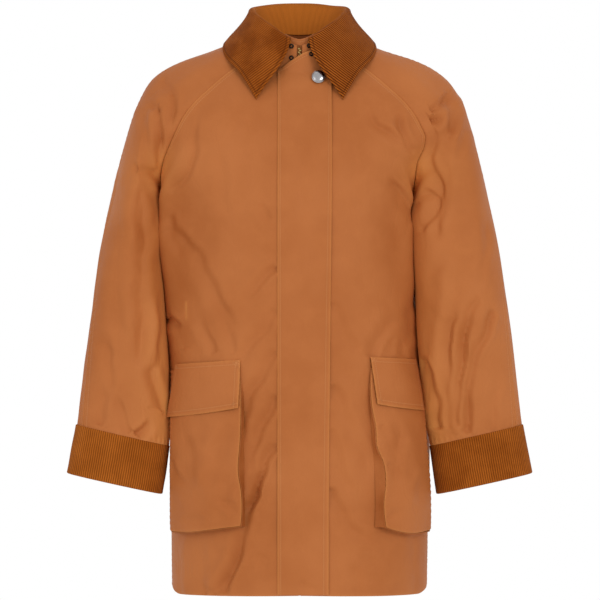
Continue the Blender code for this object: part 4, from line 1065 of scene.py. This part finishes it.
band = bandPiece()
clothPiece("neckBand", band, bandLook["wall"], lining, ["collar_band"],
           marks=dict(plain, wearAndPaintedLight=bandLook["wearAndPaintedLight"] * smoothStep(*bandLook["paintedLightFrom"], band[..., 1])))


def facingPiece():
    across = np.linspace(0, facingLook["width"], facingLook["columns"])
    step = 0.004
    rows = []
    for s in np.linspace(*facingLook["reach"], facingLook["rows"]):
        here = bodyRow("back", across, s)
        out = unit(np.cross(bodyRow("back", across, s + step) - bodyRow("back", across, s - step),
                            bodyRow("back", across + step, s) - here)) * -1
        rows.append(here - out * facingLook["inside"])
    half = np.array(rows)
    half[:, 0, 0] = 0
    return np.concatenate([half[:, :0:-1] * mirror, half], axis=1)


facing = facingPiece()
u, v = lengths(facing)
clothPiece("neckFacing", facing, facingLook["wall"], lining, ["neck_facing"], turn=True,
           marks=dict(stitchAlong([(v - 3.0, u)]), wearAndPaintedLight=facingLook["wearAndPaintedLight"]))

# What lies on the fronts is laid out from the front's own surface.
lattice = {"s": np.linspace(-1.2, 2, 520), "t": np.linspace(0, 0.97, 200)}
lattice["rows"] = np.array([bodyRow("front", lattice["t"], s) for s in lattice["s"]])


def frontColumn(x):  # y and z down the front form at one distance from the centre
    y = np.array([np.interp(abs(x), row[:, 0], row[:, 1]) for row in lattice["rows"]])
    z = np.array([np.interp(abs(x), row[:, 0], row[:, 2]) for row in lattice["rows"]])
    return y, z


def frontDepth(x, z):
    y, level = frontColumn(x)
    order = np.argsort(level)
    return np.interp(z, level[order], y[order])


# Storm flap.
flapLook = {
    "columns": 30, "rows": 236, "wall": 1.8, "seam": -32.0, "widest": 45.5, "foot": -798.0, "lift": 3.2,
    "liftAtTop": 4.8, "topReach": 35, "clear": 0.3, "edgeStitch": 7.4, "seamStitch": 5, "topStitch": 6.0,
    "edge": drawn(((-10, 46.5), (-150, 47.2), (-370, 44.8), (-700, 42.0), (-800, 41.8))),
    "top": drawn(((-32, -36), (-22, -27), (-4, -14), (4.4, -8.5), (16, -4.5), (30, -7), (45.5, -24))),
}


def flapPiece():
    share = even(flapLook["columns"], "trim", 78)
    down = even(flapLook["rows"], "strip", 780)
    points = np.zeros((len(down), len(share), 3))
    for j, part in enumerate(share):
        x = flapLook["seam"] + (flapLook["widest"] - flapLook["seam"]) * part
        top = float(follow(flapLook["top"], x)[0])
        z = top + (flapLook["foot"] - top) * down
        edge = follow(flapLook["edge"], z)[:, 0]
        points[:, j] = np.stack([flapLook["seam"] + (edge - flapLook["seam"]) * part, frontDepth(x, z), z], axis=1)
    out = normals(points)
    u, v = lengths(points)
    part = u / u[:, -1:]
    lift = flapLook["lift"] + (flapLook["liftAtTop"] - flapLook["lift"]) * np.exp(-v / flapLook["topReach"])
    lift = lift * (0.68 + 0.32 * smoothStep(0, 0.2, part))
    edge = fromEnd(u)
    wave = 0.5 * np.sin(v / 37.0) + 0.4 * np.sin(v / 61.0 + 1.0)
    lift = lift + wave * smoothStep(0.4, 1.0, part)
    fromEdgeLine, fromSeamLine = edge - flapLook["edgeStitch"], u - flapLook["seamStitch"]
    lift += pucker(v, fromEdgeLine, 91, 0.22) + pucker(v, fromSeamLine, 92, 0.22) * smoothStep(0.5, 3, u)
    lift += foldMove(points, 1, flapFolds) * smoothStep(1, 10, edge) * smoothStep(1, 10, u)
    lift = np.maximum(lift, flapLook["wall"] + flapLook["clear"])
    lift -= turnedEdge(edge, 1.2) + turnedEdge(u, 1.2) + turnedEdge(v, 1.2) + turnedEdge(fromFoot(v), 1.0)
    marks = stitchAlong([(fromSeamLine, v), (fromEdgeLine, v), (v - flapLook["topStitch"], u)])
    # Lighter along the edges: wear and painted highlight.
    marks["wearAndHighlight"] = np.exp(-np.minimum(edge, np.minimum(u, v)) / 1.2)
    return points + out * lift[..., None], marks


flapFolds = [
    fold(0.9, 7, (-8, -300), (4, -360), (-2, -430)), fold(0.8, 6, (20, -520), (10, -580), (14, -640)),
    fold(0.9, 8, (0, -120), (10, -190), (4, -240)), fold(0.9, 3, (-1, -788), (28, -797), ends=(0.2, 0.2)),
    fold(0.8, 6, (-18, -640), (-8, -700), (-14, -750)),
]
flapPoints, marks = flapPiece()
clothPiece("stormFlap", flapPoints, flapLook["wall"], cotton, ["storm_flap"], marks=marks)

# Zip, and the guard behind it.
zipLook = {"depth": 6.4, "foot": 1.96, "wall": 1.0, "top": 0.95, "tape": (0.4, 15), "pitch": 2.6,
           "tooth": (3.0, 1.5, 1.3), "apart": 0.9, "guardWall": 1.4, "guardTop": 1.16, "guardHalf": 21,
           "guardDeeper": 1.5}


def stripPiece(top, ends, depth, columns):
    heights = np.concatenate([np.linspace(-top, 0, 30)[:-1], np.linspace(0, zipLook["foot"], 150)])
    across = np.linspace(ends[0], ends[1], columns)
    points = np.zeros((len(heights), columns, 3))
    for i, s in enumerate(heights):
        row = bodyRow("front", lattice["t"], s)
        points[i, :, 0] = across
        points[i, :, 1] = np.interp(np.abs(across), row[:, 0], row[:, 1]) + depth
        points[i, :, 2] = np.interp(np.abs(across), row[:, 0], row[:, 2])
    return points


def zipTeeth():  # small brass blocks, one side's between the other's, down both tapes
    build = bmesh.new()
    long, tall, deep = zipLook["tooth"]
    middle = stripPiece(0.93, (-0.01, 0.01), zipLook["depth"] - zipLook["apart"], 2)[:, 0]
    run = np.concatenate([[0], np.cumsum(np.linalg.norm(np.diff(middle, axis=0), axis=1))])
    for k, along in enumerate(np.arange(4.0, run[-1] - 3, zipLook["pitch"])):
        spot, ahead = (np.array([np.interp(place, run, middle[:, axis]) for axis in range(3)])
                       for place in (along, along + 1))
        tilt = math.atan2(ahead[1] - spot[1], spot[2] - ahead[2])
        made = bmesh.ops.create_cube(build, size=1)["verts"]
        bmesh.ops.scale(build, vec=Vector((long, deep, tall)) * millimetre, verts=made)
        bmesh.ops.rotate(build, matrix=Matrix.Rotation(tilt, 3, "X"), verts=made)
        spot[0] = zipLook["apart"] if k % 2 else -zipLook["apart"]
        bmesh.ops.translate(build, vec=Vector(spot) * millimetre, verts=made)
    mesh = meshOf(build, "zipTeeth")
    mesh.materials.append(brass)
    piece = addObject("zipTeeth", mesh)
    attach(piece, "root")


zipTeeth()
for side, sign in signs.items():
    strip = stripPiece(zipLook["top"], sorted(sign * edge for edge in zipLook["tape"]), zipLook["depth"], 6)
    clothPiece(side + "Tape", strip, zipLook["wall"], tape, ["zip_tape_" + side], marks=plain)
guard = stripPiece(zipLook["guardTop"], (-zipLook["guardHalf"], zipLook["guardHalf"]),
                   zipLook["depth"] + zipLook["guardDeeper"], 26)
u, v = lengths(guard)
clothPiece("zipGuard", guard, zipLook["guardWall"], cotton, ["zip_guard"],
           marks=stitchAlong([(u - 4, v), (v - 4, u)]))


# Pockets.
lattice["out"] = normals(lattice["rows"])


def formAt(t, s):  # the front form and its outward way, between the lattice's points
    i = np.clip((s - lattice["s"][0]) / (lattice["s"][1] - lattice["s"][0]), 0, len(lattice["s"]) - 1.001)
    j = np.clip(t / lattice["t"][1], 0, len(lattice["t"]) - 1.001)
    iLow, jLow = i.astype(int), j.astype(int)
    a, b = (i - iLow)[..., None], (j - jLow)[..., None]
    place, out = (grid[iLow, jLow] * (1 - a) * (1 - b) + grid[iLow + 1, jLow] * a * (1 - b)
                  + grid[iLow, jLow + 1] * (1 - a) * b + grid[iLow + 1, jLow + 1] * a * b
                  for grid in (lattice["rows"], lattice["out"]))
    return place, unit(out)


search = {"rounds": 14, "perMillimetre": 0.0031, "reach": 0.004, "most": 0.08, "last": 0.84}


def offFront(x, z, out, side):  # points off the fronts that show at x and z from in front
    x, z, out = (each.astype(float) for each in np.broadcast_arrays(x, z, out))
    t, s = np.abs(x) * search["perMillimetre"], heightOf(z)
    reach, most = search["reach"], search["most"]

    def shown(t, s):
        place, way = formAt(t, s)
        return np.stack(asSeen(place + way * out[..., None], side), axis=-1)

    for _ in range(search["rounds"]):
        here = shown(t, s)
        byT, byS = (shown(t + reach, s) - here) / reach, (shown(t, s + reach) - here) / reach
        missX, missZ = x - here[..., 0], z - here[..., 1]
        size = byT[..., 0] * byS[..., 1] - byT[..., 1] * byS[..., 0]
        size = np.where(np.abs(size) < 1e-6, 1e-6, size)
        t = np.clip(t + np.clip((missX * byS[..., 1] - missZ * byS[..., 0]) / size, -most, most), 0.0, search["last"])
        s = s + np.clip((byT[..., 0] * missZ - byT[..., 1] * missX) / size, -most, most)
    place, way = formAt(t, s)
    return place + way * out[..., None]


# As seen from in front: edges of bag and gusset by height, the bag's foot by share across, the flap's four corners.
pocketLook = {
    "right": {
        "top": -474.0,
        "inner": drawn(((-474, -88.5), (-535.8, -87.3), (-577, -88.6), (-626, -91.3), (-657, -86.6), (-704, -87.6))),
        "root": drawn(((-474, -86), (-540, -83), (-600, -82.5), (-704, -81.5))),
        "outer": drawn(((-474, -191), (-600, -191.8), (-712, -191.5))),
        "foot": drawn(((0, -704.5), (0.25, -708), (0.5, -711), (0.84, -713.6), (1, -712))),
        "flap": ((-88.1, -458.1), (-184.3, -464.7), (-91.3, -529.8), (-197.4, -543.2)), "bow": 1.5,
        "folds": [fold(-2.4, 9, (-122, -540), (-136, -600), (-155, -655)),
                  fold(2.6, 4.5, (-190.5, -608), (-180, -630), (-168, -649), ends=(0.05, 0.5)),
                  fold(1.0, 3, (-120, -669), (-92, -669)), fold(1.6, 8, (-104, -560), (-110, -620), (-104, -690)),
                  fold(1.4, 7, (-168, -560), (-160, -600), (-166, -650)), fold(1.6, 6, (-176, -690), (-140, -700)),
                  fold(1.2, 5, (-98, -690), (-112, -672), (-128, -664), ends=(0.05, 0.5))],
    },
    "left": {
        "top": -470.0,
        "inner": drawn(((-470, 107.5), (-531, 108.2), (-556.5, 113.2), (-590.5, 116.4), (-609, 124.4),
                        (-638, 128.3), (-672, 125.6), (-704, 128.5))),
        "root": drawn(((-470, 105), (-540, 106), (-590, 109), (-625, 111.7), (-704, 111.7))),
        "outer": drawn(((-470, 184.5), (-536, 186), (-580, 188.6), (-648, 194), (-712, 194.2))),
        "foot": drawn(((0, -706.5), (0.34, -713.4), (0.66, -715), (1, -710.5))),
        "flap": ((105.6, -453.9), (173.6, -457.3), (116.2, -524), (185.5, -533)), "bow": 1.0,
        "folds": [fold(2.0, 7, (150, -545), (143, -610), (150, -680)),
                  fold(-1.8, 8, (166, -550), (168, -620), (162, -690)),
                  fold(1.6, 5, (118, -556), (132, -580), (140, -604), ends=(0.05, 0.5)),
                  fold(1.6, 5, (130, -612), (146, -630), (154, -650), ends=(0.05, 0.5)),
                  fold(1.6, 5, (129, -700), (142, -684), (156, -676), ends=(0.05, 0.5))],
    },
    "depth": drawn(((0.0, 2.6), (0.15, 7.0), (0.4, 13.0), (0.7, 16.0), (1.0, 14.0))),
    "flapLift": drawn(((0.0, 2.9), (0.25, 7.0), (0.5, 10.0), (1.0, 14.4))),
    # columns and rows, and for the gusset those underneath, up each side and through its depth
    "bagCounts": (52, 96), "flapCounts": (46, 34), "gussetCounts": (48, 90, 10),
    "bagWall": 1.4, "puff": 2.0, "flapWall": 1.8, "flapPuff": 1.2, "flapStitch": 7, "stitchedBox": 8.0,
    "gussetWall": 1.2, "gussetDrop": 0.3, "gussetClear": 0.8, "gussetAside": 0.9, "gussetUnder": 0.8,
    "gussetOut": 0.7, "gussetInside": 0.7, "gussetRoot": 0.6,
}


def flapGrid(corners, bow):  # between four corners, with the lower edge bowed down
    columns, rows = pocketLook["flapCounts"]
    a, b = even(columns, "trim", 100)[None], even(rows, "trim", 72)[:, None]
    innerTop, outerTop, innerFoot, outerFoot = (np.array(corner) for corner in corners)
    spots = [innerTop[k] * (1 - a) * (1 - b) + outerTop[k] * a * (1 - b) + innerFoot[k] * (1 - a) * b
             + outerFoot[k] * a * b for k in (0, 1)]
    return spots[0], spots[1] - bow * np.sin(np.pi * a) * b, a, b


def stitchedBox(u, v, size):  # a small square of stitches crossed corner to corner
    inside = (u < size) & (v < size) & (u > 1) & (v > 1)
    return [(np.where(inside, gap, 50.0), u) for gap in ((u - v) * 0.7, (u + v - size) * 0.7)]


def pocketPieces(name):
    look, side = pocketLook[name], signs[name]
    columns, rows = pocketLook["bagCounts"]
    across, down = even(columns, "trim", 110)[None], even(rows, "trim", 240)[:, None]
    foot = follow(look["foot"], across[0])[..., 0][None]
    z = look["top"] + (foot - look["top"]) * down
    inner, outer = follow(look["inner"], z)[..., 0], follow(look["outer"], z)[..., 0]
    depth = follow(pocketLook["depth"], down)[..., 0]
    bag = offFront(inner + (outer - inner) * across, z, depth, side)
    u, v = lengths(bag)
    out = normals(bag)
    edge, below = np.minimum(u, fromEnd(u)), fromFoot(v)
    calm = smoothStep(0, 14, edge)
    move = foldMove(bag, side, look["folds"]) * smoothStep(0, 8, edge) * smoothStep(0, 8, below)
    move += (unevenness(bag, 81 + side, 70, 0.9) + unevenness(bag, 87 + side, 34, 0.35)) * calm
    move += pocketLook["puff"] * np.sin(np.pi * across) * np.sin(np.pi * down)
    move += pucker(v, edge, 83 + side, 0.7, 7) + pucker(u, below, 85 + side, 0.5, 7)
    move -= turnedEdge(edge, 1.2) + turnedEdge(below, 1.2)
    # Lighter along the edges: wear and painted highlight.
    marks = dict(plain, wearAndHighlight=0.8 * np.exp(-np.minimum(edge, below) / 1.0))
    bag = bag + out * move[..., None]
    clothPiece(name + "PocketBag", bag, pocketLook["bagWall"], cotton, ["pocket_bag_" + name],
               side, marks=marks)

    underneath, upright, deep = pocketLook["gussetCounts"]
    heights = np.linspace(look["top"], float(foot[0, 0]), upright)
    far = np.linspace(look["top"], float(foot[0, -1]), upright)
    shares = np.linspace(1, 0, underneath)[1:-1]
    lowest = follow(look["foot"], shares)[..., 0]
    ends = follow(look["inner"], lowest)[..., 0], follow(look["outer"], lowest)[..., 0]
    clear, drop = pocketLook["gussetClear"], pocketLook["gussetDrop"]
    rimX = np.concatenate([follow(look["outer"], far)[..., 0] + side * clear, ends[0] + (ends[1] - ends[0]) * shares,
                           follow(look["inner"], heights[::-1])[..., 0] - side * clear])
    rimZ = np.concatenate([far, lowest - drop, heights[::-1]])
    rootX = np.concatenate([follow(look["outer"], far)[..., 0] - side * 3, ends[0] + (ends[1] - ends[0]) * shares,
                            follow(look["root"], heights[::-1])[..., 0]])
    places = np.concatenate([(look["top"] - far) / (look["top"] - far[-1]), 1 + 0 * shares,
                             ((look["top"] - heights) / (look["top"] - heights[-1]))[::-1]])
    full = np.maximum(follow(pocketLook["depth"], places)[..., 0] - pocketLook["gussetInside"],
                      pocketLook["gussetRoot"])
    rim = offFront(rimX, rimZ, full, side)
    aside = unit(bag[:, -1] - bag[:, -5]) * pocketLook["gussetAside"] - out[:, -1] * pocketLook["gussetUnder"]
    share = (look["top"] - far) / (look["top"] - far[-1])
    aside = aside + sideways * pocketLook["gussetOut"]
    for axis in range(3):
        rim[:len(far), axis] = np.interp(share, down[:, 0], (bag[:, -1] + aside)[:, axis])
    root = offFront(rootX, rimZ, np.full(len(rimZ), pocketLook["gussetRoot"]), side)
    strip = root + (rim - root) * np.linspace(0, 1, deep)[:, None, None]
    bulge = np.sin(np.pi * np.linspace(0, 1, deep))[:, None] * (0.8 + 0.6 * np.sin(np.arange(len(rimZ)) / 7.0))
    strip = strip + normals(strip, -1) * bulge[..., None]
    clothPiece(name + "PocketGusset", strip, pocketLook["gussetWall"], shaded, ["pocket_gusset_" + name],
               side, turn=True, marks=plain)

    x, z, a, b = flapGrid(look["flap"], look["bow"])
    flap = offFront(x, z, follow(pocketLook["flapLift"], b)[..., 0] + 0 * a, side)
    u, v = lengths(flap)
    edge, below = np.minimum(u, fromEnd(u)), fromFoot(v)
    move = unevenness(flap, 95 + side, 60, 0.5) * smoothStep(0, 14, edge) * smoothStep(0, 14, v)
    move += pucker(v, edge, 97 + side, 0.3, 8) + pucker(u, below, 99 + side, 0.3, 8) + pucker(u, v, 93 + side, 0.3, 9)
    move += pocketLook["flapPuff"] * np.sin(np.pi * a) * np.sin(np.pi * b)
    move -= turnedEdge(edge, 1.3) + turnedEdge(below, 1.3) + turnedEdge(v, 1.2)
    lines = [(distance - pocketLook["flapStitch"], along) for distance, along in ((edge, v), (below, u), (v, u))]
    lines += stitchedBox(u, v, pocketLook["stitchedBox"]) + stitchedBox(fromEnd(u), v, pocketLook["stitchedBox"])
    marks = stitchAlong(lines)
    # Lighter along the edges: wear and painted highlight.
    marks["wearAndHighlight"] = 0.9 * np.exp(-np.minimum(edge, np.minimum(below, v)) / 1.2)
    clothPiece(name + "PocketFlap", flap + normals(flap) * move[..., None], pocketLook["flapWall"], cotton,
               ["pocket_flap_" + name], side, marks=marks)


pocketPieces("right")
pocketPieces("left")


# Metal. A profile is turned about its axis: radius and height.
def turnedPiece(name, profile, steps, centre, facing, finish, nodes):
    build = bmesh.new()
    line = [build.verts.new((radius * millimetre, 0, height * millimetre)) for radius, height in profile]
    edges = [build.edges.new(pair) for pair in zip(line, line[1:])]
    bmesh.ops.spin(build, geom=line + edges, cent=(0, 0, 0), axis=(0, 0, 1), angle=2 * math.pi, steps=steps,
                   use_merge=True)
    bmesh.ops.remove_doubles(build, verts=build.verts, dist=0.000005)
    bmesh.ops.recalc_face_normals(build, faces=build.faces)
    turn = Vector(facing).to_track_quat("Z", "Y").to_matrix().to_4x4()
    turn.translation = Vector(centre) * millimetre
    bmesh.ops.transform(build, matrix=turn, verts=build.verts)
    mesh = meshOf(build, name)
    mesh.shade_smooth()
    mesh.set_sharp_from_angle(angle=math.radians(crispAngle))
    mesh.materials.append(finish)
    wear(addObject(name, mesh), nodes)


def seatOf(node):  # where a packed snap sits and faces: its base's middle and its outward way
    verts = np.array([v.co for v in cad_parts[node].data.vertices]) * 1000
    middle = verts.mean(axis=0)
    values, ways = np.linalg.eigh(np.cov((verts - middle).T))
    facing = ways[:, 0] * (-1 if ways[1, 0] > 0 else 1)
    reach = (verts - middle) @ facing
    return middle + facing * reach.min(), facing


capProfile = [(9.7, 0.0), (9.9, 0.5), (9.75, 1.0), (9.3, 1.35), (8.8, 1.45)]
capProfile += [(8.7 * math.cos(a), 1.45 + 2.3 * math.sin(a)) for a in np.radians(range(6, 91, 7))]
capProfile += [(0.0, 3.75)]
seat, facing = seatOf("snap_cap")
turnedPiece("snapCap", [(0.0, 0.0)] + capProfile, 56, seat, facing, nickel, ["snap_cap"])
ringProfile = [(1.3, 0.0), (3.4, 0.0), (3.6, 0.4), (3.5, 1.0), (3.0, 1.5), (2.3, 1.6), (1.8, 1.3), (1.5, 0.8),
               (1.3, 0.0)]
for snap in ("left_upper", "left_lower", "right_upper", "right_lower"):
    seat, facing = seatOf("neck_snap_" + snap)
    title = snap.split("_")[0] + snap.split("_")[1].capitalize() + "Snap"
    turnedPiece(title, ringProfile, 32, seat, facing, darkRing, ["neck_snap_" + snap])
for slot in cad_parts["zip_slider"].material_slots:
    slot.material = brass
print("metal made")

# Studio.
build = bmesh.new()
bmesh.ops.create_circle(build, cap_ends=True, segments=96, radius=studio["spread"])
bmesh.ops.translate(build, vec=(0, 0, studio["floor"]), verts=build.verts)
mesh = meshOf(build, "paleFloor")
floor = addObject("paleFloor", mesh)
n = Nodes("palePaper")
paper = n.mix(n.ramp(n.noise(n.add("ShaderNodeTexCoord").outputs["Object"], 3.0, 3.0).outputs[0], 0.3, 0.7),
              rgb(240, 240, 238), rgb(246, 246, 245))
mesh.materials.append(n.finish(paper, 0.8))

world = bpy.data.worlds.new("studio")
bpy.context.scene.world = world
world.use_nodes = True
tree = world.node_tree
back = tree.nodes["Background"]
back.inputs["Color"].default_value = (1, 1, 1, 1)
seen = tree.nodes.new("ShaderNodeLightPath")
strength = tree.nodes.new("ShaderNodeMapRange")
tree.links.new(seen.outputs["Is Camera Ray"], strength.inputs["Value"])
strength.inputs["To Min"].default_value = studio["ambient"]
strength.inputs["To Max"].default_value = studio["backdrop"]
tree.links.new(strength.outputs[0], back.inputs["Strength"])

lamps = {"key": ((2.4, -4.4, 1.2), 1.4, 47), "fill": ((-2.6, -4.0, 0.6), 2.6, 24), "top": ((0.2, -0.6, 3.2), 2.4, 5)}
for name, (place, size, power) in lamps.items():
    light = bpy.data.lights.new(name, "AREA")
    light.size = size
    light.energy = power
    lamp = addObject(name, light)
    lamp.location = place
    lamp.rotation_euler = (Vector(studio["aim"]) - Vector(place)).to_track_quat("-Z", "Y").to_euler()

eye = bpy.data.cameras.new("eye")
eye.lens = studio["lens"]
eye.sensor_width = studio["sensor"]
camera = addObject("eye", eye)
camera.location = (studio["aside"] * millimetre, -studio["away"] * millimetre, studio["level"] * millimetre)
camera.rotation_euler = (math.pi / 2, 0, 0)
bpy.context.scene.camera = camera
bpy.context.scene.view_settings.view_transform = "Standard"
